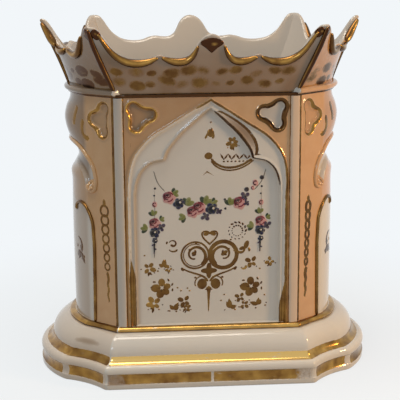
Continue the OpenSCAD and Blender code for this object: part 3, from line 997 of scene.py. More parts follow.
@dataclass
class ArchPanel:
    """A flat face of the stand: apricot spandrels with blind trefoils over a cusped niche."""

    plan: Plan
    depth: float = 3.0
    splay: float = 0.5
    rib_w: float = 1.9
    rib_h: float = 0.9
    band_w: float = 1.5
    line_w: float = 1.25
    head_w: float = 5.6
    bar_w: float = 3.8
    bar_at: float = 42.0
    bar_drift: float = 0.8
    bar_tops: tuple[float, float] = (74.0, 57.0)
    bar_point: float = 17.0
    bare_below: tuple[float, float] = (155.0, 149.0)
    thin_from: tuple[float, float] = (104.0, 114.0)
    spring: float = 104.0
    sway: float = 0.036
    lobe_r: float = 3.1
    trefoil_depth: float = 1.7
    columns: int = 164
    rows: int = 232
    arch: Knots = (
        (43.6, 108.0), (43.3, 116.0), (40.6, 127.6), (32.6, 137.6), (20.4, 145.6), (10.0, 152.3),
        (0.0, 158.4))
    head: Knots = (
        (24.6, 126.2), (23.4, 130.0), (20.4, 134.6), (15.2, 140.8), (9.4, 146.2), (4.4, 150.6), (0.0, 153.8))
    lobe: Knots = ((40.4, 106.0), (39.6, 113.0), (37.4, 119.0), (33.0, 123.8), (24.6, 126.2))
    lobes: Knots = ((30.8, 150.8), (40.0, 154.4), (38.6, 144.6))

    def mirrored(self, half: Array) -> Array:
        """Close an outline by its mirror on the left.

        Args:
            half: The outline's right half, from foot to apex.

        Returns:
            The whole outline, with its feet below the wall.
        """
        foot = np.array(((half[0, 0], self.plan.wall_low - 4.0),))
        right = np.concatenate((foot, half))
        return np.concatenate((right, right[-2::-1] * (-1.0, 1.0)))

    def fields(self, x: Array, z: Array) -> tuple[Array, dict[str, Array]]:
        """Relief and painted fields of the face.

        The face steps down inside the arch, over the tracery's splay, to the niche's floor. Ribs are raised
        on the arch and trefoils are sunk in the spandrels.

        Args:
            x: Places across the face.
            z: Levels.

        Returns:
            Height over the wall's face, and the fields.
        """
        leaf = trefoil(np.abs(x), z, self.lobes, self.lobe_r)
        x = x - self.sway * np.maximum(z - self.spring, 0.0)
        arch = signed_distance(x, z, self.mirrored(spline(self.arch, 40)))
        cusped = np.concatenate((spline(self.lobe, 20), spline(self.head, 24)[1:]))
        niche = signed_distance(x, z, self.mirrored(cusped))
        height = -self.splay * ease(0.0, 2.4, arch) + self.rib_h * bead(arch, 0.0, self.rib_w / 2.0)
        height -= (self.depth - self.splay) * ease(-0.4, self.band_w, niche)
        height += 0.55 * bead(niche, -0.4, 0.9) * (arch > 1.2)
        height -= self.trefoil_depth * ease(-0.4, 1.5, leaf)
        height += 0.45 * bead(leaf, -0.8, 0.9)
        right = ease(-2.0, 3.0, x)
        bare_left = 4.0 * (1.0 - right)
        gilt = np.maximum(self.line_w / 2.0 - np.abs(arch) - bare_left * ease(*self.bare_below, z),
                          mix(0.55, 1.2, right) - np.abs(leaf + 0.3))
        cusp, apex = self.lobe[-1][1], self.head[-1][1]
        span = np.sin(math.pi * np.clip((z - cusp) / (apex - cusp), 0.0, 1.0))
        broad = mix(self.line_w, self.head_w, span**0.7 * right)
        inset = 0.6 - niche
        thin = mix(-0.8, 0.5, ease(*self.thin_from, z))
        lines = np.maximum(mix(thin, 0.9, span) - np.abs(inset - 0.4),
                           np.where(span > 0.12, 0.8 - np.abs(inset - broad + 0.4), -1.0))
        bar_top = np.where(x < 0.0, *self.bar_tops)
        point = ease(bar_top - self.bar_point, bar_top, z)
        bar = mix(self.bar_w / 2.0, 0.0, point) - np.abs(np.abs(x) - self.bar_at - self.bar_drift * point)
        gilt = np.maximum(np.maximum(gilt, lines - bare_left), bar)
        wear = np.where(bar > -0.6, -0.55, np.where(np.abs(arch) < 1.3, -0.7, -0.85))
        wear = np.where(leaf > -2.5, mix(0.0, -0.85, right), wear)
        ground = np.minimum(-arch - 0.2, np.where(x < 0.0, 9.0, -leaf - 0.1))
        # A painted shadow along the niche's left edge, and a brown wash in the band of the head's right half.
        shadow_and_wash = np.exp(-(((niche + 0.3) / 0.9) ** 2)) * 0.4 * (1.0 - right)
        shadow_and_wash += 0.85 * ease(0.0, 0.8, np.minimum(inset, broad - inset)) * span * right
        # Painted shade in the hollows, stronger on the left, in the trefoils' recesses and over the left
        # spandrel.
        soil = np.clip(hollow(height, 10) * 0.9, 0.0, 0.45) * mix(1.0, 0.3, right)
        soil += 0.2 * ease(0.0, 1.5, leaf) + shadow_and_wash + 0.4 * ease(0.0, 2.0, -arch) * (1.0 - right)
        return height, {"gilt": gilt, "ground": ground, "soil": soil, "wear": wear}

    def build(self, face: Face, finish: Material) -> None:
        """Make the wall of one face and turn it to that face.

        Args:
            face: The face.
            finish: The glaze.
        """
        plan, name = self.plan, face.name.lower()
        x, z = np.meshgrid(np.linspace(-plan.panel_half, plan.panel_half, self.columns),
                           np.linspace(plan.wall_low, plan.wall_top, self.rows))
        height, fields = self.fields(x, z)
        outer = np.stack((x, -plan.face - height, z), axis=-1)
        inner = np.stack((x, np.full_like(x, plan.wall - plan.face), z), axis=-1)
        Skin.slab(outer, inner, fields).turned(-face.value).piece(
            f"{name}_niche_panel", "apricot_porcelain", finish,
            replaces=(f"{name}_panel", f"{name}_tracery", f"{name}_arch_rib"))


@dataclass(frozen=True)
class EndLinesAndLight:
    """An end's gold lines and painted light: half-widths of its two gold lines, strengths of painted shade,
    and of apricot laid on as a painted warm light.
    """

    near_line: float
    far_line: float
    hollow_shade: float
    plate_shade: float
    hood_shade: float
    strip_shade: float
    strip_warm_light: float
    bow_warm_light: float


@dataclass
class EndWrap:
    """One bowed end with its two pilasters and colonnettes, as one relief on the wall's developed plan.

    Places are given as (c, z): c is the way along the wall from the middle of the bow, and z the level.
    """

    plan: Plan
    # The left end takes more painted shade; the right one's colonnette strip takes a painted warm light.
    left: EndLinesAndLight = EndLinesAndLight(0.65, 0.8, 0.8, 0.4, 0.84, 0.28, 0.0, 0.22)
    right: EndLinesAndLight = EndLinesAndLight(0.35, 0.55, 0.3, 0.0, 0.3, 0.0, 0.5, 0.0)
    turn: float = 1.0
    swell: float = 1.3
    swell_at: float = 0.25
    lobe_r: float = 3.1
    line_w: float = 1.4
    trefoil_depth: float = 1.7
    lobes_in: Knots = ((14.8, 147.6), (7.6, 153.8), (8.4, 141.0))
    hood_line: Knots = (
        (31.0, 0.0), (96.0, 0.0), (110.0, -0.2), (115.0, 0.0), (119.0, -2.2), (124.0, -4.4), (129.0, -3.0),
        (134.0, 0.0), (140.0, 2.2), (146.0, 2.9), (151.0, 1.9), (157.0, -0.4), (160.5, -0.8))
    hood_from: tuple[float, float] = (112.0, 126.0)
    s_edge: Knots = ((0.0, 133.0), (22.0, 134.5), (37.0, 129.0), (37.4, 112.0))
    crest: Knots = ((0.0, 121.0), (24.0, 121.5), (28.5, 117.0), (29.6, 109.0))
    curl: tuple[float, float] = (33.7, 110.2)
    curl_r: float = 3.5
    curl_turns: float = 1.15
    crook: Knots = (
        (34.2, 31.0), (34.8, 60.0), (34.8, 80.0), (33.4, 91.4), (29.8, 97.2), (25.0, 99.4), (20.2, 98.8),
        (17.2, 96.0), (17.8, 93.8))
    apex: tuple[float, float] = (0.0, 108.0)
    channel_depth: float = 2.6
    step: float = 0.55

    def __post_init__(self) -> None:
        """Lay out the wall's run: half the bow, a pilaster and a colonnette, mirrored about the bow's middle.

        The run's corners are rounded by a Hann window, and its outward direction is square to its way ahead.
        """
        plan, flip = self.plan, (1, -1)
        bow = plan.arc(np.array((plan.side * flip,)), np.array((plan.side,)), np.array((plan.end_bow,)),
                       np.linspace(0.0, 1.0, 401))[0]
        self.bow_half = float(lengths(bow)[-1] / 2.0)
        self.pilaster_w = float(np.hypot(plan.pilaster_run, plan.pilaster_set))
        self.marks = np.cumsum((self.bow_half, self.pilaster_w - self.turn, self.turn + plan.colonnette_w))
        edge = np.array((plan.panel_half, plan.face))
        bend = np.vstack((edge, plan.corner, bow[::-1], plan.corner * flip, edge * flip))[::-1]
        along = lengths(bend)
        self.run = np.linspace(-self.marks[2], self.marks[2], 2401)
        place = np.stack([np.interp(self.run + self.marks[2], along, bend[:, k]) for k in (0, 1)], axis=1)
        window = np.hanning(33)
        window /= window.sum()
        wide = np.pad(place, ((16, 16), (0, 0)), mode="reflect", reflect_type="odd")
        self.base = np.stack([np.convolve(wide[:, k], window, mode="valid") for k in (0, 1)], axis=1)
        ahead = unit(np.gradient(self.base, axis=0))
        self.out = np.stack((ahead[:, 1], -ahead[:, 0]), axis=1)

    def at(self, rows: Array, c: Array) -> Array:
        """Rows that are given along the run, looked up at places along the wall."""
        return np.stack([np.interp(c, self.run, rows[:, k]) for k in (0, 1)], axis=-1)

    def mirrored(self, half: Array) -> Array:
        """Join a line that starts at the bow's middle to its mirror image."""
        return np.concatenate((half[:0:-1] * (-1.0, 1.0), half))

    def channel(self) -> Array:
        """Draw the sunk channel between the hood's edge and the crest of the end plate.

        Returns:
            The closed outline as (c, z).
        """
        edge = self.mirrored(bezier(self.s_edge, 28))
        crest = self.mirrored(bezier(self.crest, 24))
        return np.concatenate((edge, crest[::-1]))

    def white_panel(self) -> Array:
        """Outline of the plain white panel inside the crooked ribs of the end plate."""
        half = np.concatenate((np.array((self.apex,)), spline(self.crook, 44)[::-1][2:]))
        return self.mirrored(half)

    def fields(self, c: Array, z: Array, side: Side = Side.RIGHT) -> tuple[Array, dict[str, Array]]:
        """Relief and painted fields of the end.

        The bow's middle follows the hood's line and fades to the pilasters as a cosine to a power. The
        channel is sunk, the colonnettes swell as two half parabolas that meet near the flat face, and the
        trefoils are sunk in the pilasters.

        Args:
            c: Way along the wall from the bow's middle.
            z: Levels.
            side: The end, as the left one takes more painted shade, and the two take a painted warm light in
                different places.

        Returns:
            Height over the wall's face, and the fields.
        """
        fine = spline(self.hood_line, 400)
        line = np.interp(z, fine[:, 0], fine[:, 1])
        away = np.abs(c)
        fade = np.cos(np.clip(away / (self.bow_half + 2.0), 0.0, 1.0) * math.pi / 2.0) ** 1.6
        channel = signed_distance(c, z, self.channel())
        panel = signed_distance(c, z, self.white_panel())
        height = fade * line - (1.0 - fade) * self.channel_depth * ease(-0.3, 1.6, channel)
        inside = self.marks[2] - away
        strip = self.turn + self.plan.colonnette_w
        past = inside / strip - self.swell_at
        bulge = 1.0 - np.where(past < 0.0, past / self.swell_at, past / (1.0 - self.swell_at)) ** 2
        groove = np.clip(1.0 - np.abs(inside - strip) / 0.8, 0.0, 1.0)
        height += self.swell * np.clip(bulge, 0.0, 1.0) - 0.35 * groove
        lobes = [(self.marks[2] - self.plan.colonnette_w - way, level) for way, level in self.lobes_in]
        leaf = trefoil(away, z, lobes, self.lobe_r)
        height -= self.trefoil_depth * ease(-0.4, 1.6, leaf)
        height += 0.45 * bead(leaf, -0.8, 0.9)
        lines_and_light = self.left if side is Side.LEFT else self.right
        gilt = self.line_w / 2.0 - np.abs(leaf + 0.2)
        gilt = np.maximum(gilt, lines_and_light.far_line - np.abs(inside - strip - 0.5))
        gilt = np.maximum(gilt, lines_and_light.near_line - np.abs(inside - 0.2))
        ground = np.minimum(np.minimum(-channel - 0.4, -panel), inside - strip - 0.3)
        wear = np.where(leaf > -2.5, -0.45, np.where(inside < 0.7 * strip, -0.1, -0.75))
        on_bow = ease(self.bow_half + 1.0, self.bow_half - 3.0, away)
        # Painted shade in the hollows and trefoils, over the bow's plate and hood and on the colonnette
        # strip, more on the left.
        soil = np.clip(hollow(height, 8) * lines_and_light.hollow_shade, 0.0, 0.4) + 0.2 * ease(0.0, 1.5, leaf)
        soil += on_bow * mix(lines_and_light.plate_shade, lines_and_light.hood_shade, ease(*self.hood_from, z))
        soil += lines_and_light.strip_shade * ease(strip + 1.0, strip - 0.5, inside)
        # Apricot over the colonnette strip and the bow as a painted warm light.
        blush = lines_and_light.strip_warm_light * ease(strip, strip - 0.6, inside) + lines_and_light.bow_warm_light * on_bow
        return height, {"gilt": gilt, "ground": ground, "soil": soil, "wear": wear, "blush": blush}

    def on_wall(self, c: Array, z: Array, lift: Array) -> Array:
        """Points on the dressed wall, raised along the wall's outward direction.

        Args:
            c: Way along the wall from the bow's middle.
            z: Levels.
            lift: How far to raise each point.

        Returns:
            The points.
        """
        c, z, lift = np.broadcast_arrays(c, z, lift)
        height = self.fields(c.reshape(1, -1), z.reshape(1, -1))[0].reshape(c.shape)
        plan = self.at(self.base, c) + self.at(self.out, c) * (height + lift)[..., None]
        return np.concatenate((plan, z[..., None]), axis=-1)

    def outward(self, c: Array) -> Array:
        """The wall's outward direction at each place along it."""
        return np.concatenate((self.at(self.out, c), np.zeros((*c.shape, 1))), axis=-1)

    def rib(self, path: Array, radius: Array) -> Skin:
        """A rounded rib laid on the wall along a path of (c, z)."""
        spine = self.on_wall(path[:, 0], path[:, 1], 0.25 * np.max(radius))
        return Skin.ring(tube(spine, self.outward(path[:, 0]), radius, 12), capped=True)

    def joined(self, skins: Iterable[Skin], **fields: float) -> Skin:
        """Join ribs into one surface.

        Args:
            skins: The ribs.
            **fields: Painted fields that are even all over.

        Returns:
            The surface.
        """
        one = Skin.join(skins)
        one.fields = {k: np.full((len(one.points), 1), v) for k, v in fields.items()}
        return one

    def ribs(self) -> Skin:
        """The gilded ribs: the crooks of the end plate, and a thin dark line under the hood's edge.

        Returns:
            The closed surface.
        """
        edge = self.mirrored(bezier(self.s_edge, 44) - (0.5, 0.8))
        crooks = [spline(self.crook, 90) * (sign, 1.0) for sign in (-1.0, 1.0)]
        skins = [self.rib(edge, rounded(len(edge), 0.7, 0.5, 0.3))]
        skins += [self.rib(crook, rounded(len(crook), 1.0, 0.8, 0.25)) for crook in crooks]
        return self.joined(skins, wear=-0.6)

    def scroll(self) -> Skin:
        """The hood's rounded edge, which ends in a curl on each side, in the apricot of the hood.

        A curl is a spiral whose radius falls evenly with its angle, and it ends in a round boss.

        Returns:
            The closed surface.
        """
        turns = np.linspace(0.0, 1.0, 40)
        radius = self.curl_r * (1.0 - 0.62 * turns)
        curl = orbit(self.curl, radius, radius, -2.0 * math.pi * self.curl_turns * turns)
        edge = self.mirrored(np.concatenate((bezier(self.s_edge, 44), curl[2:])))
        skins = [self.rib(edge, rounded(len(edge), 1.2, 0.9, 0.3))]
        for sign in (-1.0, 1.0):
            spot = curl[-1] * (sign, 1.0) + np.linspace(-1.5, 1.5, 9)[:, None] * (0.0, 1.0)
            skins.append(self.rib(spot, 1.7 * np.sin(np.linspace(0.0, math.pi, 9))))
        return self.joined(skins, gilt=BARE, ground=2.0, soil=0.0, wear=0.0)

    def build(self, side: Side, finish: Material, gold: Material) -> None:
        """Make the five pieces of one end and the ribs on it.

        Args:
            side: The end.
            finish: The glaze.
            gold: The gilding.
        """
        plan, word = self.plan, side.name.lower()
        first, last = ("front", "back") if side is Side.RIGHT else ("back", "front")
        names = (f"{first}_{word}_colonnette", f"{first}_{word}_pilaster", f"{word}_bowed_end",
                 f"{last}_{word}_pilaster", f"{last}_{word}_colonnette")
        edges = np.concatenate((-self.marks[::-1], self.marks))
        levels = np.linspace(plan.wall_low, plan.wall_top, int((plan.wall_top - plan.wall_low) / self.step))
        for low, high, name in zip(edges[:-1], edges[1:], names):
            c, z = np.meshgrid(np.linspace(low, high, max(14, int((high - low) / self.step))), levels)
            height, fields = self.fields(c, z, side)
            base, out = self.at(self.base, c), self.at(self.out, c)
            outer, inner = (np.concatenate((base + out * way, z[..., None]), axis=-1)
                            for way in (height[..., None], -plan.wall))
            is_end = name.endswith("_end")
            nodes = (f"{word}_end_wall", f"{word}_end_plate", f"{word}_hood") if is_end else (name,)
            slot = "apricot_porcelain" if name.endswith("_pilaster") else "white_porcelain"
            skin = Skin.slab(outer, inner, fields).turned(side.value)
            skin.piece(f"{name}_skin", slot, finish, replaces=nodes)
        self.ribs().turned(side.value).piece(f"{word}_gilded_ribs", "gilding", gold)
        self.scroll().turned(side.value).piece(f"{word}_hood_scroll", "apricot_porcelain", finish,
                                               replaces=(f"{word}_scroll_curls",))


@dataclass(frozen=True)
class Rim:
    """The scalloped rim of a crown panel, and the spans of it that carry rolls.

    Knots are (way along, height), both as shares: from the middle to a corner on a flat panel, and from the
    corner to the end's tip on a canted one. The flats' middles lie a little off, as they were cut by hand.
    """

    knots: Knots
    rolls: Knots
    roll_drop: float = 1.2
    middle: float = 0.0
    canted: bool = False

    def height(self, u: Array) -> Array:
        """Share of the crown's height that the rim reaches at each place along a panel."""
        line, off = spline(self.knots, 600), u - self.middle
        return np.interp(np.abs(off) / (1.0 - np.sign(off) * self.middle), line[:, 0], line[:, 1])


@dataclass
class Crown:
    """The flared crown: six panels with a scalloped rim, gilded rolls on the rim and ribs on the arrises."""

    plan: Plan
    wall: float = 4.5
    rim_wall: float = 3.4
    cant_swell: float = 6.0
    rim_swell: float = 1.0
    roll_r: float = 2.25
    rib_r: float = 1.5
    end_rib_r: float = 0.9
    corner_bow: float = 1.7
    smudge_rows: tuple[float, ...] = (3.4, 9.2)
    smudge_gap: float = 10.6
    smudge_size: tuple[float, float] = (5.4, 2.9)
    cant_w: float = 49.0
    skirt: float = 0.07
    # Browns the panels' inner faces, by lamp smoke and by painted shade.
    smoke_and_shade: float = 0.44
    smudge_gold: tuple[float, float] = (0.8, -0.75)
    # The left cant's smudges: larger, and painted darker as shade.
    shaded_gold: tuple[float, float] = (1.6, -0.95)
    peak_eye: tuple[float, float, float] = (5.8, 4.2, 0.6)
    peak_eye_drop: float = 0.175
    corner_eye: tuple[float, float] = (2.8, 3.0)
    corner_eye_at: float = 0.95
    cant_eye: tuple[float, float] = (2.6, 3.0)
    cant_eye_at: float = 0.05
    eye_level: float = 0.85
    columns: int = 160
    rows: int = 26
    front: Rim = Rim((
        (0.0, 0.845), (0.04, 0.825), (0.08, 0.775), (0.11, 0.715), (0.14, 0.61), (0.18, 0.52), (0.23, 0.468),
        (0.29, 0.452), (0.36, 0.468), (0.42, 0.505), (0.46, 0.53), (0.50, 0.505), (0.57, 0.462), (0.66, 0.44),
        (0.75, 0.455), (0.82, 0.515), (0.87, 0.615), (0.90, 0.735), (0.92, 0.835), (0.94, 0.905),
        (0.965, 0.955), (1.0, 0.965)), ((0.115, 0.445), (0.475, 0.94)), middle=0.035)
    back: Rim = Rim((
        (0.0, 0.95), (0.04, 0.935), (0.08, 0.895), (0.115, 0.83), (0.145, 0.745), (0.19, 0.645), (0.25, 0.60),
        (0.33, 0.60), (0.39, 0.612), (0.45, 0.598), (0.55, 0.55), (0.66, 0.54), (0.77, 0.575), (0.85, 0.675),
        (0.895, 0.806), (0.92, 0.90), (0.95, 0.955), (1.0, 0.965)), ((0.15, 0.37), (0.41, 0.92)), 2.6, 0.05)
    side: Rim = Rim((
        (0.0, 0.965), (0.05, 0.96), (0.10, 0.925), (0.15, 0.86), (0.20, 0.77), (0.26, 0.65), (0.32, 0.57),
        (0.39, 0.54), (0.47, 0.555), (0.53, 0.59), (0.58, 0.605), (0.64, 0.58), (0.71, 0.555), (0.78, 0.565),
        (0.84, 0.605), (0.89, 0.665), (0.93, 0.745), (0.955, 0.84), (0.975, 0.935), (0.99, 0.985),
        (1.0, 1.0)), ((0.16, 0.55), (0.60, 0.85), (0.86, 0.985)), canted=True)

    @property
    def height(self) -> float:
        """How far the end tips stand over the crown's foot."""
        return self.plan.crown_top - self.plan.crown_low

    @staticmethod
    def flare(h: Array) -> Array:
        """Share of the lean at a share of the height: three quarters straight and one quarter squared."""
        return mix(h, h * h, 0.25)

    def lean(self, h: Array) -> tuple[Array, Array, Array]:
        """The outside's corners and ends; a corner's X bows out on the way up as a parabola.

        Args:
            h: Shares of the height.

        Returns:
            Corner X, corner Y and end X.
        """
        plan, f = self.plan, self.flare(h)
        corner = f / self.flare((plan.corner_top - plan.crown_low) / self.height)
        bow = 4.0 * self.corner_bow * np.maximum(corner * (1.0 - corner), 0.0)
        return (mix(plan.corner[0], plan.tip_x, corner) + bow, mix(plan.corner[1], plan.tip_y, corner),
                mix(plan.end, plan.tip_end, f))

    def place(self, rim: Rim, u: Array, h: Array, inset: Array) -> Array:
        """Points of the front panel or of the front right one, which is canted.

        A canted plan is the chord from corner to tip with a parabolic swell that dies out towards the rim.

        Args:
            rim: The panel's rim.
            u: Share along it: -1 to 1 between a flat's corners, or 0 at the corner to 1 at the end's tip.
            h: Share of the height.
            inset: The way in from the outside.

        Returns:
            The points.
        """
        cx, cy, ex = self.lean(h)
        ax, ay, bx = cx - 0.5 * inset, inset - cy, ex - 1.12 * inset
        level = self.plan.crown_low + self.height * h
        if not rim.canted:
            return np.stack((u * ax, ay, level), axis=-1)
        length = np.hypot(bx - ax, ay)
        swell = 4.0 * u * (1.0 - u) * mix(self.cant_swell, self.rim_swell, h)
        x, y = mix(ax, bx, u) - swell * ay / length, mix(ay, 0.0, u) - swell * (bx - ax) / length
        return np.stack((x, y, level), axis=-1)

    def length(self, rim: Rim) -> float:
        """A panel's length along its rim, in millimetres for one share."""
        return self.cant_w if rim.canted else self.plan.tip_x

    def panel(self, rim: Rim, side: Side = Side.RIGHT) -> Skin:
        """A panel whose rim is rounded over: outside, half round and inside, with the foot closed.

        Args:
            rim: The panel's rim.
            side: The end that a canted panel is for, as the left one's gold is thicker and painted darker as
                shade, and it keeps the full painted shade.

        Returns:
            The closed surface.
        """
        u = np.linspace(0.0 if rim.canted else -1.0, 1.0, self.columns)
        top = rim.height(u)
        round_over = np.linspace(0.0, math.pi / 2.0, 7)
        rim_h = self.rim_wall / 2.0 / self.height
        foot = 0.0 if rim.canted else -self.skirt
        rise = np.concatenate((mix(foot, top - rim_h, np.linspace(0.0, 1.0, self.rows)[:, None]),
                               (top - rim_h) + rim_h * np.sin(round_over[1:])[:, None]))
        wall = mix(self.wall, self.rim_wall, np.clip(rise / np.maximum(top, 0.1), 0.0, 1.0))
        tuck = np.concatenate((np.zeros(self.rows), 1.0 - np.cos(round_over[1:])))[:, None] / 2.0
        u = np.broadcast_to(u, rise.shape)
        outer, inner = (self.place(rim, u, rise, way * wall) for way in (tuck, 1.0 - tuck))
        faded = self.smudges(u * self.length(rim), rise * self.height)
        # The outside is browned all over: a patchy brown wash and painted shade of the overhang, lighter
        # towards the top.
        wash = 0.5 + 0.5 * np.sin(9.0 * u + 2.0 * np.cos(5.0 * u)) * np.cos(7.0 * rise)
        soil = np.clip(0.82 + 0.16 * wash - 0.12 * rise, 0.0, 0.95)
        ground = 0.3 - 0.4 * ease(0.6, 0.95, rise) if rim.canted else np.full(rise.shape, BARE)
        # The left cant keeps the full painted shade and darker smudges; the right cant takes half the shade,
        # and the flats are painted lighter near the rim.
        browned_and_shaded = rim.canted and side is Side.LEFT
        bold, wear = self.shaded_gold if browned_and_shaded else self.smudge_gold
        if not rim.canted:
            soil = soil - 0.4 * ease(0.5, 0.85, rise)
        elif not browned_and_shaded:
            soil = 0.5 * soil
        fields = {"gilt": bold * faded - 0.25, "ground": ground, "soil": np.minimum(soil + 0.5 * faded, 1.0),
                  "wear": np.full(rise.shape, wear)}
        return Skin.slab(outer, inner, fields, self.smoke_and_shade)

    def smudges(self, along: Array, up: Array) -> Array:
        """Strength of faded dabs of gold in loose rows: 1 - (a/w)^2 - (b/t)^2 to a power, about each middle.

        Args:
            along: Way along a panel in millimetres.
            up: Way up it.

        Returns:
            The strength, from 0 outside the dabs to less than 1.
        """
        rng = np.random.default_rng(7)
        wide, tall = self.smudge_size
        strength = np.zeros(along.shape)
        for row, level in enumerate(self.smudge_rows):
            for place in np.arange(along.min() + 5.0 + 3.0 * (row % 2), along.max() - 5.0, self.smudge_gap):
                a, b = along - place - rng.uniform(-1.8, 1.8), up - level - rng.uniform(-1.3, 1.3)
                grow, bold = rng.uniform(0.6, 1.25), rng.uniform(0.35, 0.9)
                a = a + rng.uniform(-0.7, 0.7) * b
                inside = np.clip(1.0 - (a / wide / grow) ** 2 - (b / tall / grow) ** 2, 0.0, 1.0)
                strength = np.maximum(strength, bold * inside**0.8)
        return strength

    @staticmethod
    def gilded(grid: Array, wear: float) -> Skin:
        """A gilded piece that ends in poles; a painted highlight lies across its swell as a bell curve over
        its height, and the gold above and below it is painted dark as shade.

        Args:
            grid: Points by ring and side.
            wear: The wear on the swell.

        Returns:
            The closed surface.
        """
        z = grid[..., 2]
        half = np.ptp(z, axis=1, keepdims=True) / 2.0 + 1e-6
        # A painted highlight across the swell; the gold above and below it is painted dark as shade.
        painted_highlight = np.exp(-((((z - z.mean(axis=1, keepdims=True)) / half - 0.1) / 0.45) ** 2))
        return Skin.ring(grid, {"wear": wear - 0.85 * (1.0 - painted_highlight)}, capped=True)

    def rolls(self, rim: Rim) -> list[Skin]:
        """Swelling gilded rolls laid on a rim's outer edge, on both halves of a flat.

        Args:
            rim: The rim.

        Returns:
            One surface a roll.
        """
        made = []
        girth = rounded(48, self.roll_r, 0.45, 0.6)
        for start, stop in rim.rolls:
            along = np.linspace(start, stop, 48)
            for half in (1.0,) if rim.canted else (1.0, -1.0):
                u = rim.middle + half * along * (1.0 - half * rim.middle)
                path = self.place(rim, u, rim.height(u) - rim.roll_drop / self.height, np.full_like(u, -0.2))
                up = np.broadcast_to((0.0, 0.0, 1.0), path.shape)
                made.append(self.gilded(tube(path, up, girth, 16), 0.0))
        return made

    def arris(self, at_end: bool) -> Skin:
        """A gilded rib up an arris, from the cornice to the tip.

        Args:
            at_end: Whether the arris is the right end's, or else the front right corner's.

        Returns:
            The closed surface.
        """
        h = np.linspace(-0.06, 0.93, 40)
        cx, cy, ex = self.lean(h)
        level = self.plan.crown_low + self.height * h
        path = np.stack((ex, np.zeros_like(h), level) if at_end else (cx, -cy, level), axis=-1)
        out = np.array((1.0, 0.0, 0.0) if at_end else (0.6, -0.8, 0.0))
        girth = rounded(40, self.end_rib_r if at_end else self.rib_r, 0.5, 0.3)
        return self.gilded(tube(path + 0.3 * out, np.broadcast_to(out, path.shape), girth, 14), -0.4)

    def eye(self, rim: Rim, u: float, h: float, wide: float, tall: float, fan: float = 0.0) -> Skin:
        """A dark gilded boss on a panel's outside: an ellipsoid about (u, h) with a painted highlight.

        Args:
            rim: The panel's rim.
            u: Share along the panel.
            h: Share of the height.
            wide: Half-axis along the panel in millimetres.
            tall: Half-axis up it.
            fan: How much the boss widens upwards.

        Returns:
            The closed surface.
        """
        down, turn = np.meshgrid(np.linspace(0.0, math.pi, 13), around(24), indexing="ij")
        across, up = np.sin(down) * np.cos(turn), np.sin(down) * np.sin(turn)
        # A painted highlight on the boss.
        painted_highlight = np.exp(-(((across - 0.2) / 0.35) ** 2) - ((up - 0.15) / 0.3) ** 2)
        wide, up = wide * (1.0 + fan * up), up * (1.0 - 0.45 * across**2)
        grid = self.place(rim, u + across * wide / self.length(rim), h + up * tall / self.height,
                          0.2 - 0.9 * np.cos(down))
        return Skin.ring(grid, {"wear": 0.9 * painted_highlight - 1.35}, capped=True)

    def build(self, finish: Material, gold: Material) -> None:
        """Make the six panels and the four groups of rim scrolls.

        Args:
            finish: The glaze.
            gold: The gilding.
        """
        cants = [self.panel(self.side, side) for side in (Side.RIGHT, Side.LEFT)]
        flips = [Skin(c.points * (1.0, -1.0, 1.0), c.quads[:, ::-1], c.fields) for c in cants]
        for name, skin, sign in (("front", self.panel(self.front), 1), ("back", self.panel(self.back), -1),
                                 ("front_right", cants[0], 1), ("back_left", cants[1], -1),
                                 ("back_right", flips[0], 1), ("front_left", flips[1], -1)):
            skin.turned(sign).piece(f"crown_{name}_panel", "white_porcelain", finish,
                                    replaces=(f"crown_{name}",))
        right = self.rolls(self.side)
        right.append(self.eye(self.side, self.cant_eye_at, self.eye_level, *self.cant_eye))
        right += [skin.mirrored(1.0, -1.0, 1.0) for skin in right] + [self.arris(True)]
        rib = self.arris(False)
        groups = {"right": (right, 1), "left": (right, -1)}
        for name, rim, sign in (("front", self.front, 1), ("back", self.back, -1)):
            peak = float(rim.height(np.array(rim.middle)))
            eyes = [self.eye(rim, rim.middle, peak - self.peak_eye_drop, *self.peak_eye)]
            for u in (-self.corner_eye_at, self.corner_eye_at):
                eyes.append(self.eye(rim, u, self.eye_level, *self.corner_eye))
            groups[name] = (self.rolls(rim) + [rib, rib.mirrored(-1.0, 1.0, 1.0)] + eyes, sign)
        for name, (skins, sign) in groups.items():
            Skin.join(skins).turned(sign).piece(f"{name}_rim_rolls", "gilding", gold,
                                                replaces=(f"{name}_rim_scrolls",))


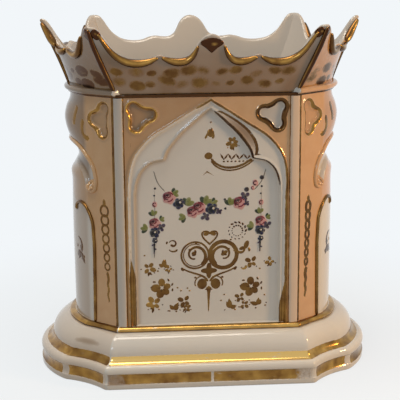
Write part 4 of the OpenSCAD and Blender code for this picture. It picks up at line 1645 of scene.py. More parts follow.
@dataclass
class Brush:
    """Collects painted marks, each a low closed cushion on a surface.

    A surface is a function that places (a, b, lift) in millimetres. A mark carries one field: its pigment, or
    how far its gold is worn. Where marks are laid over each other, each lies a step above the last.
    """

    place: Place
    relief: float = 0.14
    sink: float = 0.08
    coat: float = 0.0
    step: float = 0.0
    layer: float = 0.0
    marks: list[Skin] = field(default_factory=list)

    def _keep(self, a: Array, b: Array, lift: Array, paint: Paint, capped: bool, thin: Value = 0.0) -> None:
        """Place a mark's points and keep it with its field.

        Args:
            a: First coordinate of the points.
            b: Second coordinate.
            lift: Height over the surface.
            paint: A pigment, or the wear of gold.
            capped: Whether the first and last rows are poles.
            thin: How far a pigment fades into the glaze.
        """
        grid = self.place(a, b, np.broadcast_to(lift, a.shape) + self.layer)
        self.layer += self.step
        if isinstance(paint, Pigment):
            name, thin = "pigment", np.broadcast_to(thin, a.shape)[..., None]
            value = mix(np.array(linear(paint.value)), np.array(linear(Finish.glaze)), thin)
        else:
            name, value = "wear", np.full(a.shape, paint + self.coat)
        self.marks.append(Skin.ring(grid, {name: value}, capped))

    def stroke(self, path: Array, width: float | Array, paint: Paint, closed: bool = False) -> None:
        """A brush stroke: half an ellipse carried along a path, drawn to a point at each open end.

        Args:
            path: The stroke's middle line as (a, b).
            width: Full width, or the width at each point.
            paint: A pigment, or the wear of a gold stroke from 0 to 1.
            closed: Whether the stroke returns to its start.
        """
        path = np.asarray(path, float)
        half = np.broadcast_to(np.asarray(width, float) / 2.0, len(path)).copy()
        if closed:
            run = unit(np.roll(path, -1, axis=0) - np.roll(path, 1, axis=0))
        else:
            half[[0, -1]] = 0.0
            run = unit(np.gradient(path, axis=0))
        angle = around(8)
        reach = half[:, None] * np.cos(angle)
        bow = np.sin(angle)
        lift = np.where(bow > 0.0, self.relief, self.sink) * bow * np.minimum(1.0, 3.0 * half[:, None])
        a, b = path[:, :1] - run[:, 1:] * reach, path[:, 1:] + run[:, :1] * reach
        self._keep(a, b, lift, paint, not closed)

    def blob(self, at: tuple[float, float], radii: Array | tuple[float, float], paint: Paint,
             turn: float = 0.0) -> None:
        """A touch of the brush: an outline in polar form that rises to a low dome.

        Args:
            at: The middle as (a, b).
            radii: Radius at evenly spaced angles, or the two half-axes of an ellipse.
            paint: A pigment, or the wear of gold from 0 to 1.
            turn: Turn in degrees.
        """
        count = 20 if len(radii) == 2 else len(radii)
        angle = around(count)
        wide, tall = radii if len(radii) == 2 else (radii, radii)
        a, b = wide * np.cos(angle), tall * np.sin(angle)
        cos, sin = math.cos(math.radians(turn)), math.sin(math.radians(turn))
        scale = np.array((0.0, 0.55, 0.86, 1.0, 0.0))[:, None]
        rise = np.array((self.relief, 0.85 * self.relief, 0.5 * self.relief, -self.sink, -self.sink))
        thin = np.array((0.0, 0.0, 0.08, 0.5, 0.5))[:, None] * float(np.min(radii) > 0.9)
        self._keep(at[0] + scale * (a * cos - b * sin), at[1] + scale * (a * sin + b * cos),
                   np.broadcast_to(rise[:, None], (5, count)), paint, True, thin)

    def curve(self, controls: Iterable[tuple[float, float]], count: int, width: tuple[float, float],
              paint: Paint) -> None:
        """A stroke along a Bezier curve, whose width goes evenly from a first to a last value."""
        self.stroke(bezier(controls, count), np.linspace(*width, count), paint)

    def petals(self, at: tuple[float, float], size: float, count: int, paint: Paint, turn: float = 90.0,
               fat: float = 0.42) -> None:
        """A ring of petals, each a little larger or smaller than the next and a little astray.

        Args:
            at: The middle as (a, b).
            size: About how far the petals reach.
            count: How many petals.
            paint: A pigment, or the wear of gold.
            turn: The first petal's direction in degrees.
            fat: A petal's half-width over that reach.
        """
        for k in range(count):
            stray = math.sin(5.0 * k + 3.0 * at[0])
            angle = math.radians(turn + k * 360.0 / count + 12.0 * stray)
            grown = size * (1.0 + 0.16 * stray)
            spot = orbit(at, 0.6 * grown, 0.6 * grown, angle)
            self.blob(spot, (0.48 * grown, fat * grown), paint, math.degrees(angle))

    def tuft(self, at: tuple[float, float], size: float, count: int, paint: Paint, turn: float) -> None:
        """Pointed leaves that spread from a base, each as broad as sin(pi t^0.8) with t its way out.

        Args:
            at: The base as (a, b).
            size: About two thirds of a leaf's length.
            count: How many leaves.
            paint: A pigment, or the wear of gold.
            turn: The middle leaf's direction in degrees.
        """
        t = np.linspace(0.0, 1.0, 10)
        for k in range(count):
            stray = 14.0 * math.sin(7.0 * at[0] + 3.0 * k)
            ahead = math.radians(turn + 150.0 * ((k + 0.5) / count - 0.5) + stray)
            long = size * (1.5 + 0.35 * math.cos(5.0 * at[1] + 4.0 * k))
            blade = np.array(at) + (long * t)[:, None] * (math.cos(ahead), math.sin(ahead))
            self.stroke(blade, 0.85 * size * np.sin(math.pi * t**0.8), paint)

    def arc(self, at: tuple[float, float], radius: float, start: float, stop: float, width: float | Array,
            paint: Paint, inward: float = 0.0) -> None:
        """A stroke along a circle, or a spiral that draws in.

        Args:
            at: The middle as (a, b).
            radius: The radius at the start.
            start: Direction of the start in degrees.
            stop: Direction of the end.
            width: Full width, or the width at each of its 36 points.
            paint: A pigment, or the wear of gold.
            inward: How far it draws in, as a share of the radius.
        """
        t = np.linspace(0.0, 1.0, 36)
        shrink = radius * (1.0 - inward * t)
        self.stroke(orbit(at, shrink, shrink, np.radians(mix(start, stop, t))), width, paint)

    def piece(self, name: str, slot: str, material: Material, turn: int = 1) -> None:
        """Make all marks one piece on the stand, turned half round when the turn is negative."""
        Skin.join(self.marks).turned(turn).piece(name, slot, material)


class Bloom(Enum):
    """Kinds of flower and leaf in the garlands."""

    ROSE = 1
    CORNFLOWER = 2
    LEAF = 3
    BUD = 4
    DOT = 5
    VIOLA = 6


Spray = tuple[Bloom, float, float, float, float]


@dataclass
class Garland:
    """A swag of roses and cornflowers between two hanging drops, painted in enamels on the niche's floor.

    Each spray is (kind, x, z, half size, turn in degrees), in millimetres from the face's middle.
    """

    swag: tuple[Spray, ...] = (
        (Bloom.LEAF, -20.4, 106.4, 2.6, 30.0), (Bloom.ROSE, -22.8, 104.8, 3.2, 0.0),
        (Bloom.LEAF, -12.6, 100.2, 3.2, 70.0), (Bloom.CORNFLOWER, -16.8, 101.2, 3.0, 10.0),
        (Bloom.LEAF, -13.8, 93.0, 2.6, 200.0), (Bloom.ROSE, -6.0, 98.6, 3.3, 40.0),
        (Bloom.ROSE, -9.6, 96.4, 3.0, 0.0), (Bloom.LEAF, -2.6, 100.6, 3.4, 75.0),
        (Bloom.LEAF, 1.4, 100.8, 2.4, 20.0), (Bloom.CORNFLOWER, 1.6, 97.4, 3.3, 0.0),
        (Bloom.VIOLA, -2.4, 93.4, 2.2, 0.0), (Bloom.VIOLA, 5.4, 96.0, 1.5, 0.0),
        (Bloom.DOT, 8.4, 102.6, 0.6, 0.0), (Bloom.DOT, 8.8, 97.4, 0.6, 0.0),
        (Bloom.LEAF, 11.6, 99.8, 3.0, 100.0), (Bloom.ROSE, 16.4, 101.0, 3.3, 0.0),
        (Bloom.VIOLA, 19.6, 104.0, 2.2, 0.0), (Bloom.VIOLA, 20.4, 100.6, 1.5, 0.0),
        (Bloom.DOT, 20.4, 108.0, 1.25, 0.0), (Bloom.BUD, 25.2, 111.6, 1.8, 20.0),
        (Bloom.BUD, 23.8, 108.8, 1.2, 20.0), (Bloom.DOT, 28.8, 114.6, 1.15, 0.0))
    drop: tuple[Spray, ...] = (
        (Bloom.DOT, 0.4, 109.6, 0.6, 0.0), (Bloom.DOT, 0.0, 105.6, 0.5, 0.0),
        (Bloom.BUD, 0.2, 100.6, 1.8, 0.0), (Bloom.LEAF, -0.6, 94.6, 2.6, 100.0),
        (Bloom.LEAF, -4.2, 86.8, 2.9, 170.0), (Bloom.LEAF, 3.4, 92.0, 2.0, 30.0),
        (Bloom.ROSE, 0.0, 90.2, 3.3, 0.0), (Bloom.VIOLA, 3.8, 87.4, 2.3, 0.0),
        (Bloom.CORNFLOWER, 0.0, 84.6, 3.1, 0.0), (Bloom.CORNFLOWER, 0.6, 80.0, 1.7, 0.0))
    drop_x: tuple[float, float] = (-30.6, 28.4)
    drop_low: tuple[float, float] = (70.0, 72.0)
    ends: Knots = ((-31.0, 119.6), (-28.6, 112.6), (-24.6, 107.6))
    bold: float = 1.15
    drop_bold: float = 1.02
    drop_petals: Knots = ((-0.7, 77.6), (0.7, 75.2), (0.0, 73.0))
    over_leaves: float = 0.09

    def spray(self, brush: Brush, spray: Spray, along: float, bold: float) -> None:
        """Paint one flower or leaf as a few overlapping touches, the flowers over the leaves.

        Args:
            brush: The brush to paint with.
            spray: The flower or leaf.
            along: How far it is moved in x.
            bold: How many times its listed size it is.
        """
        kind, x, z, size, turn = spray
        size *= bold
        brush.layer = 0.0 if kind is Bloom.LEAF else self.over_leaves

        def at(across: float, up: float) -> tuple[float, float]:
            """A place by shares of the size from the middle."""
            return along + x + across * size, z + up * size

        middle = at(0.0, 0.0)
        if kind is Bloom.ROSE:
            brush.blob(at(0.1, -0.16), size * (1.0 + 0.1 * np.cos(5.0 * around(24))), Pigment.PINK, turn)
            brush.blob(at(-0.12, 0.16), (0.76 * size, 0.62 * size), Pigment.ROSE)
            for start in (20.0, 150.0, 260.0):
                brush.arc(middle, 0.7 * size, start, start + 80.0, 0.2 * size, Pigment.ROSE)
            brush.blob(at(-0.14, 0.2), (0.4 * size, 0.32 * size), Pigment.ROSE_DEEP)
            brush.arc(at(-0.12, 0.2), 0.2 * size, 200.0, 380.0, 0.14 * size, Pigment.PINK)
            brush.arc(at(-0.1, 0.1), 0.52 * size, 150.0, 280.0, 0.16 * size, Pigment.ROSE_DEEP)
        elif kind is Bloom.CORNFLOWER:
            brush.petals(middle, 0.9 * size, 6, Pigment.BLUE, turn, 0.44)
            brush.blob(at(-0.06, -0.06), (0.74 * size, 0.66 * size), Pigment.BLUE_DARK)
            brush.petals(at(0.2, -0.1), 0.5 * size, 3, Pigment.BLUE, turn + 20.0, 0.2)
            brush.blob(at(0.12, 0.1), (0.2 * size, 0.18 * size), Pigment.CREAM)
        elif kind is Bloom.LEAF:
            for tilt, hue in ((48.0, Pigment.LEAF_DARK), (-52.0, Pigment.LEAF), (0.0, Pigment.LEAF)):
                ahead = math.radians(turn + tilt)
                spot = at(0.5 * math.cos(ahead), 0.5 * math.sin(ahead))
                brush.blob(spot, (0.72 * size, 0.42 * size), hue, turn + tilt)
            tip = at(math.cos(ahead), math.sin(ahead))
            brush.stroke(np.array((middle, spot, tip)), 0.22 * size, Pigment.LEAF_DARK)
        elif kind is Bloom.BUD:
            brush.blob(middle, (0.8 * size, size), Pigment.PINK, turn)
            brush.arc(middle, 0.5 * size, 40.0, 300.0, 0.4 * size, Pigment.ROSE_DEEP)
        elif kind is Bloom.VIOLA:
            brush.petals(middle, size, 4, Pigment.VIOLET, 30.0 + turn)
            brush.blob(middle, (0.4 * size, 0.4 * size), Pigment.INK)
        else:
            brush.blob(middle, (size, size), Pigment.INK)

    def paint(self, brush: Brush) -> None:
        """Paint the cords, the swag and the two drops.

        Args:
            brush: The brush to paint with.
        """
        left = np.asarray(self.ends)
        for line in (left, left * (-1.0, 1.0)):
            brush.stroke(spline(line, 14), 0.5, Pigment.GREY)
        for spray in self.swag:
            self.spray(brush, spray, 0.0, self.bold)
        for middle, low in zip(self.drop_x, self.drop_low):
            cord = np.array(((0.0, 112.0), (0.3, 98.0), (0.0, 84.0)))
            brush.stroke(cord + (middle, 0.0), 0.3, Pigment.GREY)
            for spray in self.drop:
                self.spray(brush, spray, middle, self.drop_bold)
            brush.curve(((middle, 79.0), (middle, low)), 10, (1.3, 0.2), Pigment.BLUE_DARK)
            for k, (x, z) in enumerate(self.drop_petals):
                brush.blob((middle + x, z), (0.8 - 0.15 * k, 0.45), Pigment.VIOLET, 30.0 - 60.0 * k)


Curve = tuple[Knots, int, tuple[float, float], float]


@dataclass
class GiltOrnament:
    """Gilt scrollwork and florets on the niche's floor: a heart on two rings, a spear and scattered sprigs.

    A floret is (x, z, size, petals, wear), a rose (x, z, wear), a touch (x, z, wide, tall, wear, turn) and a
    curve (controls, points, first and last width, wear). Turns are in degrees.
    """

    ring_at: tuple[float, float] = (7.9, 71.0)
    ring_r: float = 7.6
    ring_width: tuple[float, float] = (1.1, 2.3)
    ring_leaf: tuple[float, float] = (1.5, 2.3)
    heart_at: tuple[float, float] = (0.2, 81.6)
    star_at: tuple[float, float] = (0.0, 61.9)
    spear: tuple[float, float] = (53.0, 37.6)
    spear_width: Knots = ((37.0, 0.4), (49.0, 1.7), (52.0, 3.0), (53.0, 1.2))
    dash_at: tuple[float, float] = (15.6, 84.6)
    dash_rings: Knots = ((4.8, 1.0), (3.0, 0.6))
    dashes: int = 14
    zigzag: tuple[float, float, int] = (6.6, 21.6, 8)
    florets: tuple[tuple[float, float, float, int, float], ...] = (
        (-33.6, 64.2, 2.6, 3, 0.25), (-25.4, 67.2, 2.7, 4, 0.2), (-22.4, 63.4, 1.5, 3, 0.35),
        (-30.8, 43.4, 2.9, 4, 0.45), (-19.6, 42.0, 2.8, 3, 0.15), (-13.6, 44.4, 2.5, 3, 0.1),
        (-12.6, 40.4, 1.7, 4, 0.2), (12.4, 42.4, 3.2, 3, 0.12), (17.8, 45.8, 2.0, 3, 0.15),
        (20.2, 41.4, 1.8, 3, 0.2), (28.0, 43.6, 2.9, 3, 0.15), (24.0, 66.4, 2.4, 3, 0.3),
        (34.4, 66.4, 1.9, 3, 0.45), (20.8, 63.8, 1.5, 3, 0.5), (12.2, 134.6, 2.5, 5, 0.2))
    roses: tuple[tuple[float, float, float], ...] = ((-26.1, 52.6, 0.25), (24.1, 52.2, 0.12))
    specks: Knots = (
        (-36.0, 71.6), (-28.6, 62.4), (-17.6, 52.4), (-15.6, 50.6), (-12.0, 52.0), (-10.8, 50.4),
        (-28.0, 40.0), (-22.0, 38.8), (-18.2, 38.4), (7.0, 44.2), (8.8, 47.6), (15.0, 38.6), (31.6, 46.8),
        (32.2, 40.6), (26.8, 39.2), (0.2, 145.8), (28.6, 62.4), (12.0, 79.6))
    curves: tuple[Curve, ...] = (
        (((13.6, 74.4), (17.0, 70.4), (20.4, 71.6), (20.0, 75.8)), 16, (2.0, 0.8), -0.2),
        (((-22.6, 74.8), (-21.0, 73.0), (-19.2, 73.0), (-17.6, 74.6)), 12, (0.5, 1.3), -0.4),
        (((0.4, 143.0), (1.6, 140.0), (2.6, 137.6), (0.8, 137.0)), 12, (0.7, 1.5), -0.3),
        (((-0.2, 141.6), (-1.2, 139.6), (-2.2, 138.4), (-2.8, 136.6)), 10, (1.2, 1.2), -0.2),
        (((0.4, 126.0), (5.0, 118.6), (16.0, 118.4), (24.4, 126.4)), 30, (1.3, 1.3), -0.4),
        (((0.4, 124.5), (5.0, 117.1), (16.0, 116.9), (24.4, 124.9)), 30, (0.9, 0.9), -0.4))
    touches: tuple[tuple[float, ...], ...] = (
        (20.8, 76.4, 2.7, 1.5, -0.3, 70.0), (18.4, 74.4, 1.8, 1.1, -0.4, 20.0),
        (22.4, 73.6, 1.3, 0.8, -0.2, 100.0), (-23.6, 78.6, 0.9, 0.6, -0.4, 70.0),
        (0.2, 139.8, 2.1, 2.5, -0.3, 20.0), (-0.9, 127.2, 2.4, 2.1, -0.3, 0.0))
    side_touches: tuple[tuple[float, ...], ...] = (
        (14.8, 63.0, 1.3, 0.9, -0.4, 50.0), (3.8, 54.2, 3.0, 3.4, -0.35, 12.0),
        (7.6, 58.0, 0.8, 0.6, -0.4, 0.0), (7.2, 78.0, 0.9, 0.6, -0.4, 0.0))

    def heart(self, brush: Brush) -> None:
        """The heart, as x = 4.3 sin^3 t with z a sum of cosines of t, and its two leaves.

        Args:
            brush: The brush to paint with.
        """
        x, z = self.heart_at
        t = around(48)
        level = z + 3.6 * np.cos(t) - 1.4 * np.cos(2 * t) - 0.5 * np.cos(3 * t)
        brush.stroke(np.stack((x + 4.3 * np.sin(t) ** 3, level), axis=1), 1.0, -0.4, closed=True)
        for side in (-1.0, 1.0):
            brush.blob((x + 1.9 * side, z + 1.7), (1.9, 1.3), -0.3, -20.0 * side)

    def scrollwork(self, brush: Brush) -> None:
        """The two scrolled rings, their arms, the star between them and the spear.

        Args:
            brush: The brush to paint with.
        """
        turn = around(56)
        for side, width, leaf in zip((-1.0, 1.0), self.ring_width, self.ring_leaf):
            x, z = self.ring_at[0] * side, self.ring_at[1]
            brush.stroke(orbit((x, z), self.ring_r, self.ring_r, turn), width, -0.35, closed=True)
            if side < 0.0:
                brush.arc((x, z), self.ring_r - 1.2, 60.0, 330.0, 0.6, -0.3)
            taper = np.linspace(2.0, 0.8, 36)
            brush.arc((x, z), 6.7, 90.0 + 150.0 * side, 90.0 - 190.0 * side, taper, -0.35, 0.72)
            brush.tuft((x - 0.4 * side, z + 0.6), 1.6, 3, -0.5, 90.0 - 70.0 * side)
            brush.blob((x + 0.6 * side, z + 0.9), (leaf, 1.3), -0.3, 35.0 * side)
            brush.blob((x + 3.0 * side, z + 3.2), (0.8, 0.7), -0.4)
            arm = ((0.5 * side, 55.4), (2.4 * side, 60.4), (9.0 * side, 59.6), (14.6 * side, 63.4))
            brush.curve(arm, 24, (1.3, 0.9), -0.35)
            brush.arc((3.9 * side, 54.8), 3.9, 90.0 + 30.0 * side, 90.0 - 120.0 * side, 0.7, -0.3)
            for x, z, wide, tall, wear, lean in self.side_touches:
                brush.blob((x * side, z), (wide, tall), wear, lean * side)
        brush.blob(self.star_at, 2.5 + 2.5 * np.abs(np.cos(2.0 * around(40))) ** 2.4, -0.4)
        spear = np.linspace(*self.spear, 16)
        brush.stroke(np.stack((np.zeros(16), spear), axis=1), np.interp(spear, *zip(*self.spear_width)), -0.2)
        brush.blob((0.0, 51.0), (2.3, 0.7), -0.4)

    def flowers(self, brush: Brush) -> None:
        """The florets, the two roses and the specks.

        Args:
            brush: The brush to paint with.
        """
        for k, (x, z, size, count, wear) in enumerate(self.florets):
            if k % 3 == 1:
                brush.tuft((x, z - 0.9 * size), size, count, wear - 0.4, 90.0 + 30.0 * math.sin(x))
            else:
                brush.petals((x, z), 1.4 * size, count + 1, wear - 0.5, 90.0 + 40.0 * math.sin(x), 0.35)
                brush.tuft((x - 0.2, z - 0.9 * size), 0.6 * size, 2, -0.5, 240.0 + 60.0 * math.cos(3.0 * x))
            for angle in np.radians((205.0 + 30.0 * math.cos(x), 335.0 + 25.0 * math.sin(x))):
                spot = orbit((x, z), 1.7 * size, 1.5 * size, angle)
                brush.blob(spot, (0.5, 0.32), -0.5, math.degrees(angle))
        for x, z, wear in self.roses:
            brush.petals((x, z), 5.4, 5, wear - 0.45, 100.0, 0.41)
            brush.petals((x, z), 3.4, 5, -0.65, 100.0, 0.1)
            for k, angle in enumerate(np.radians((140.0, 175.0, 20.0, -15.0, 55.0))):
                brush.blob(orbit((x, z), 5.9, 5.4, angle), (1.0, 0.55), -0.4, 30.0 * k)
        for speck in self.specks:
            brush.blob(speck, (0.6, 0.5), -0.2)

    def sprigs(self, brush: Brush) -> None:
        """The flourishes, the ring of dashes and the zigzag on the scroll under the arch's head.

        Args:
            brush: The brush to paint with.
        """
        for controls, count, width, wear in self.curves:
            brush.curve(controls, count, width, wear)
        for x, z, wide, tall, wear, turn in self.touches:
            brush.blob((x, z), (wide, tall), wear, turn)
        brush.arc((-20.2, 77.8), 2.3, 160.0, -170.0, np.linspace(0.5, 1.5, 36), -0.4, 0.65)
        for angle in around(self.dashes):
            bold = 1.0 if angle < 2.4 else 0.6
            for radius, size in self.dash_rings:
                spot = orbit(self.dash_at, radius, radius, angle)
                brush.blob(spot, (bold * size, 0.55 * bold), -0.55, math.degrees(angle) + 60.0)
        for k, x in enumerate(np.linspace(*self.zigzag)):
            lean, tall = (1.4 if k % 2 else -1.1), 1.9 - 0.06 * k
            dash = ((x - lean, 126.4 - tall), (x, 126.5), (x + lean, 126.6 + tall))
            brush.stroke(np.array(dash), 1.2, -0.5)
            brush.blob((x + 1.0, 123.9), (0.7, 0.5), -0.4)
        brush.stroke(np.array(((-4.2, 116.2), (-1.6, 118.4), (2.4, 116.0))), 0.9, -0.1)

    def paint(self, brush: Brush) -> None:
        """Paint all the gilt work."""
        for part in (self.heart, self.scrollwork, self.flowers, self.sprigs):
            part(brush)


@dataclass
class Chains:
    """Gilding on the ends: a chain down each pilaster, strokes on the hood and a scroll on the plate."""

    wrap: EndWrap
    chain_in: float = 8.8
    ring_top: float = 97.0
    ring_gap: float = 5.3
    rings: int = 7
    ring_r: float = 2.7
    ring_shrink: float = 0.16
    ring_drift: float = 0.2
    tail_low: float = 44.0
    strokes: tuple[Curve, ...] = (
        (((22.8, 154.0), (21.0, 149.0), (19.4, 146.0), (19.4, 142.6)), 16, (3.2, 3.2), -0.5),
        (((29.0, 147.0), (26.0, 141.0), (27.0, 136.4), (33.6, 136.6)), 16, (2.8, 2.8), -0.5),
        (((17.0, 78.0), (22.4, 78.0), (24.6, 73.0), (20.6, 70.6)), 14, (0.8, 4.6), -0.9))
    spots: Knots = ((25.0, 67.4), (16.4, 72.6))

    def paint(self, brush: Brush, bold: float) -> None:
        """Paint both pilasters, the hood and the plate of one end.

        Args:
            brush: The brush to paint with.
            bold: How many times as broad as usual the chains' strokes are.
        """
        middle = self.wrap.bow_half + self.wrap.pilaster_w - self.chain_in
        turn = around(22)
        for side in (-1.0, 1.0):
            brush.blob((middle * side, self.ring_top + 4.6), (1.2, 2.2), -0.6)
            for k in range(self.rings):
                z, size = self.ring_top - k * self.ring_gap, self.ring_r - self.ring_shrink * k
                ring = orbit(((middle + self.ring_drift * k) * side, z), size / bold, size + 0.3, turn)
                brush.stroke(ring, bold * (1.4 - 0.05 * k), -0.72, closed=True)
            z = np.linspace(self.ring_top - self.rings * self.ring_gap + 2.6, self.tail_low, 14)
            wave = (middle + 1.5 + 0.35 * np.sin(z)) * side
            brush.stroke(np.stack((wave, z), axis=1), bold * np.linspace(2.0, 1.1, 14), -0.6)
            for controls, count, width, wear in self.strokes:
                brush.curve(np.array(controls) * (side, 1.0), count, width, wear)
            brush.tuft((20.8 * side, 70.0), 4.6, 3, -0.9, 270.0 - 20.0 * side)
            for c, z in self.spots:
                brush.blob((c * side, z), (1.4, 1.0), -0.8, 40.0 * side)


@dataclass
class Lamp:
    """The lift-out lamp: a godet, its pierced cover and a braided wick. The tin tube keeps its shape."""

    sides: int = 72
    wall: float = 3.0
    bore: float = 3.3
    spigot_play: float = 0.35
    seat_gap: float = 0.3
    lid_flat: float = 7.0
    plies: int = 3

    @staticmethod
    def span(box: Iterable[Iterable[float]]) -> tuple[float, float, float]:
        """Radius, foot and top of a turned node's box, in millimetres."""
        low, high = in_mm(box)
        return high[0], low[2], high[2]

    def lathe(self, profile: Iterable[tuple[float, float]], closed: bool) -> Skin:
        """Turn a profile about the upright axis.

        Args:
            profile: The profile as (radius, level).
            closed: Whether the profile returns to its start, or else ends in two poles.

        Returns:
            The closed surface, without gold or colour.
        """
        line = np.asarray(profile, float)
        angle = around(self.sides)
        radius, level = line[:, :1], line[:, 1:]
        grid = np.stack(np.broadcast_arrays(radius * np.cos(angle), radius * np.sin(angle), level), axis=-1)
        bare = (("gilt", BARE), ("ground", BARE), ("soil", 0.0), ("wear", 0.0))
        return Skin.ring(grid, {k: np.full(grid.shape[:2], v) for k, v in bare}, capped=not closed)

    def cup(self) -> Skin:
        """The godet: a turned foot, a swelling belly, a rounded lip and the bowl inside.

        Returns:
            The closed surface.
        """
        r, z0, z1 = self.span(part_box("godet_cup"))
        inside, half = r - self.wall, self.wall / 2.0
        foot = np.array(((0.0, z0 + 1.0), (0.56 * r, z0 + 1.0), (0.58 * r, z0 + 0.3), (0.61 * r, z0),
                         (0.67 * r, z0), (0.70 * r, z0 + 0.4), (0.69 * r, z0 + 1.4)))
        belly = bezier(((0.70 * r, z0 + 2.4), (0.98 * r, z0 + 5.0), (r, z0 + 13.0), (r, z0 + 20.0)), 14)
        lip = np.linspace(0.0, math.pi, 9)
        rim = np.stack((r - half + half * np.cos(lip), z1 - half + half * np.sin(lip)), axis=1)
        bowl = bezier(((inside, z0 + 20.0), (inside, z0 + 10.0), (0.6 * r, z0 + 5.0), (0.0, z0 + 5.0)), 14)
        return self.lathe(np.concatenate((foot, belly, rim, bowl)), False)

    def cover(self) -> Skin:
        """The cover: a low moulded lid with a spigot below and a bore for the tube.

        Returns:
            The closed surface.
        """
        r, z0, z1 = self.span(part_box("godet_cover"))
        cup_r, _, cup_top = self.span(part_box("godet_cup"))
        seat, spigot = cup_top + self.seat_gap, cup_r - self.wall - self.spigot_play
        below = ((self.bore, z0), (spigot - 0.6, z0), (spigot, z0 + 0.6), (spigot, seat))
        edge = np.linspace(-math.pi / 2.0, math.pi / 2.0, 9)
        lip = np.stack((r - 1.0 + np.cos(edge), seat + 1.0 + np.sin(edge)), axis=1)
        lid = bezier(((r - 1.6, seat + 2.0), (0.7 * r, seat + 2.1), (0.62 * r, z1), (self.lid_flat, z1)), 14)
        return self.lathe(np.concatenate((below, lip, lid, ((self.bore, z1),))), True)

    def wick(self) -> Skin:
        """The wick: a tube whose radius follows three plies wound both ways, drawn in at both ends.

        Returns:
            The closed surface.
        """
        r, z0, z1 = self.span(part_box("wick"))
        z = np.linspace(z0, z1, 90)[:, None]
        angle = around(36)
        twist = 2.0 * math.pi * z / (3.0 * r)
        braid = np.maximum(np.cos(self.plies * angle + twist), np.cos(self.plies * angle - twist))
        way = np.abs(2.0 * (z - z.mean()) / np.ptp(z))
        radius = r * (0.86 + 0.12 * braid) * np.sqrt(np.clip(1.0 - way**24, 0.0, 1.0))
        grid = np.stack(np.broadcast_arrays(radius * np.cos(angle), radius * np.sin(angle), z), axis=-1)
        return Skin.ring(grid, capped=True)

    def tin(self) -> Material:
        """Tin plate, rolled and soldered: a dull grey gleam, clouded by heat and lamp oil.

        Returns:
            The material.
        """
        coat = Coat("rolled_tin_plate")
        cloud = coat.noise(3.0, 4.0)
        return coat.done({"Base Color": coat.blend(cloud, "#a9a8a2", "#7d776b"), "Metallic": 1.0,
                          "Roughness": coat.ramp(cloud, to_low=0.25, to_high=0.55)})

    def cotton(self) -> Material:
        """Braided cotton: matt cream with the spun fibre's own darker streaks.

        Returns:
            The material.
        """
        coat = Coat("braided_cotton")
        fibre = coat.noise(0.5, 3.0)
        return coat.done({"Base Color": coat.blend(fibre, "#e6dec9", "#b8a888"), "Roughness": 0.9,
                          "Normal": coat.ripple(fibre, 0.5, 0.2)})

    def build(self, nodes: dict[str, bpy.types.Object], glaze: Material) -> None:
        """Make the lamp's pieces and give the tin tube its finish.

        Args:
            nodes: The frame's nodes.
            glaze: The porcelain's finish.
        """
        self.cup().piece("godet_bowl", "lamp_porcelain", glaze, "godet", ("godet_cup",))
        self.cover().piece("godet_lid", "lamp_porcelain", glaze, "burner", ("godet_cover",))
        self.wick().piece("braided_wick", "cotton_wick", self.cotton(), "wick", ("wick",))
        refinish(nodes["wick_tube"], self.tin())


@dataclass(frozen=True)
class Softbox:
    """A square soft lamp that faces the middle of the stand, in millimetres and watts."""

    name: str
    place: tuple[float, float, float]
    size: float
    watts: float
    colour: str
    aim: tuple[float, float, float] = (0.0, 0.0, 100.0)

    def build(self) -> None:
        """Hang the lamp."""
        data = bpy.data.lights.new(self.name, "AREA")
        data.size, data.energy, data.color = self.size * MM, self.watts, linear(self.colour)[:3]
        lamp = link(self.name, data)
        lamp.location = Vector(self.place) * MM
        lamp.rotation_euler = (Vector(self.aim) * MM - lamp.location).to_track_quat("-Z", "Y").to_euler()


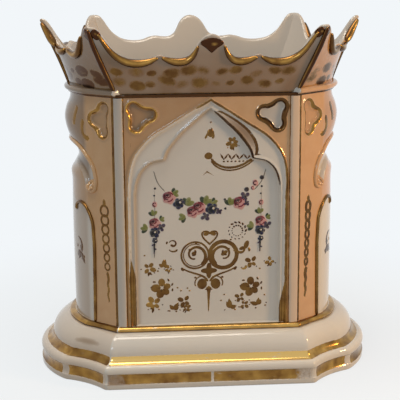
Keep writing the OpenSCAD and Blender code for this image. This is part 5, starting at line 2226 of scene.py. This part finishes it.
@dataclass(frozen=True)
class Studio:
    """Camera, floor and light. Lengths are in millimetres and angles in degrees."""

    lens: float = 99.0
    sensor: float = 36.0
    stand_at: tuple[float, float, float] = (-46.39, -628.76, 238.75)
    yaw: float = 4.11
    pitch: float = -12.97
    roll: float = -0.40
    floor_mm: float = 12000.0
    backdrop: str = "#f2f6f9"
    bounce: str = "#ada395"
    fill: float = 0.21
    near_clip: float = 20.0
    shadow: tuple[float, float] = (100.0, 300.0)
    shadow_hidden: float = 0.76
    lamps: tuple[Softbox, ...] = (
        Softbox("top_softbox", (-140.0, -80.0, 950.0), 480.0, 5.7, "#fff4e4"),
        Softbox("left_softbox", (-330.0, -910.0, 430.0), 180.0, 1.42, "#d3e4f6"),
        Softbox("right_lamp", (400.0, -195.0, 210.0), 75.0, 0.95, "#ffcf96"))

    def camera(self) -> None:
        """Set the camera at the photograph's viewpoint."""
        yaw, pitch, roll = (math.radians(v) for v in (self.yaw, self.pitch, self.roll))
        ahead = Vector((math.sin(yaw) * math.cos(pitch), math.cos(yaw) * math.cos(pitch), math.sin(pitch)))
        right = Vector((math.cos(yaw), -math.sin(yaw), 0.0))
        up = right.cross(ahead)
        cos, sin = math.cos(roll), math.sin(roll)
        right, up = right * cos + up * sin, up * cos - right * sin
        data = bpy.data.cameras.new("camera")
        data.lens, data.sensor_width, data.sensor_fit = self.lens, self.sensor, "HORIZONTAL"
        data.clip_start = self.near_clip * MM
        camera = link("camera", data)
        camera.matrix_world = Matrix((right, up, -ahead)).transposed().to_4x4()
        camera.location = Vector(self.stand_at) * MM
        bpy.context.scene.camera = camera

    def seen_white(self, tree: bpy.types.NodeTree) -> Socket:
        """One where a camera, mirror or glass ray looks, zero where light is gathered.

        Args:
            tree: The node tree that takes the nodes.

        Returns:
            The value's socket.
        """
        rays = put(tree, "ShaderNodeLightPath").outputs
        seen = rays["Is Camera Ray"]
        for kind in ("Is Glossy Ray", "Is Transmission Ray"):
            seen = put(tree, "ShaderNodeMath", {0: seen, 1: rays[kind]}, operation="MAXIMUM").outputs[0]
        return seen

    def world(self) -> None:
        """A pale even sky that shows as the backdrop and gives a low fill."""
        world = bpy.data.worlds.new("studio")
        bpy.context.scene.world = world
        world.use_nodes = True
        tree = world.node_tree
        seen = {"Value": self.seen_white(tree), "To Min": self.fill, "To Max": 1.0}
        level = put(tree, "ShaderNodeMapRange", seen).outputs[0]
        plug(tree, tree.nodes["Background"], {"Color": linear(self.backdrop), "Strength": level})

    def floor(self) -> None:
        """A pale floor with a soft shadow near the stand, which throws back a warm light as a table does."""
        half = self.floor_mm / 2.0 * MM
        mesh = bpy.data.meshes.new("floor")
        corners = [(x * half, y * half, 0.0) for x, y in ((-1, -1), (1, -1), (1, 1), (-1, 1))]
        mesh.from_pydata(corners, [], [(0, 1, 2, 3)])
        coat = Coat("pale_studio_floor")
        tree = coat.tree
        away = put(tree, "ShaderNodeVectorMath", {0: coat.where}, operation="LENGTH").outputs["Value"]
        near, far = (way * MM for way in self.shadow)
        ends = {"From Min": near, "From Max": far, "To Min": self.shadow_hidden}
        fade = put(tree, "ShaderNodeMapRange", {"Value": away, **ends}, interpolation_type="SMOOTHSTEP")
        paint = put(tree, "ShaderNodeBsdfDiffuse", {"Color": linear(self.backdrop)}).outputs[0]
        glow = put(tree, "ShaderNodeEmission", {"Color": linear(self.backdrop), "Strength": 1.0}).outputs[0]
        table = put(tree, "ShaderNodeBsdfDiffuse", {"Color": linear(self.bounce)}).outputs[0]
        seen = put(tree, "ShaderNodeMixShader", {0: fade.outputs[0], 1: paint, 2: glow}).outputs[0]
        both = put(tree, "ShaderNodeMixShader", {0: self.seen_white(tree), 1: table, 2: seen}).outputs[0]
        plug(tree, tree.nodes["Material Output"], {"Surface": both})
        mesh.materials.append(coat.material)
        floor = link("floor", mesh)

    def build(self) -> None:
        """Set up the view, the floor and the lamps."""
        bpy.context.scene.view_settings.view_transform = "Standard"
        self.camera()
        self.world()
        self.floor()
        for lamp in self.lamps:
            lamp.build()


def paint(plan: Plan, wrap: EndWrap, gold: Material, enamel: Material) -> None:
    """Paint the flowers and the gilt work on every side of the stand.

    Args:
        plan: The stand's plan.
        wrap: An end, whose wall takes chains and strokes.
        gold: The finish of the gilt marks.
        enamel: The finish of the flowers.
    """
    floor = plan.face - ArchPanel(plan).depth

    def on_niche(a: Array, b: Array, lift: Array) -> Array:
        """Place (x, z) on the niche's floor."""
        return np.stack((a + plan.lean(b), -floor - lift, b), axis=-1)

    for face in Face:
        name, turn = face.name.lower(), -face.value
        flowers, gilt = Brush(on_niche, step=0.03), Brush(on_niche, coat=-0.42)
        Garland().paint(flowers)
        flowers.piece(f"{name}_painted_garland", "white_porcelain", enamel, turn)
        GiltOrnament().paint(gilt)
        gilt.piece(f"{name}_gilt_ornament", "gilding", gold, turn)
    for side in Side:
        name, turn = side.name.lower(), side.value
        chains = Brush(wrap.on_wall)
        Chains(wrap).paint(chains, 1.0 if side is Side.LEFT else 1.5)
        chains.piece(f"{name}_gilt_chains", "gilding", gold, turn)


def main() -> None:
    """Build every sub-assembly round the frame, in order."""
    logging.basicConfig(level=logging.INFO, format="%(name)s: %(message)s")
    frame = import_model()
    Studio().build()
    finish = Finish()
    porcelain, gold, enamel = finish.porcelain(), finish.gilding(), finish.enamel()
    plan = Plan.measure()
    Plinth(plan).build(porcelain)
    Cornice(plan).build(porcelain)
    for face in Face:
        ArchPanel(plan).build(face, porcelain)
    wrap = EndWrap(plan)
    for side in Side:
        wrap.build(side, porcelain, gold)
    Crown(plan).build(porcelain, gold)
    paint(plan, wrap, gold, enamel)
    Lamp().build(frame["nodes"], porcelain)
    refinish(frame["nodes"]["floor_slab"], finish.plain())


if __name__ == "__main__":
    main()
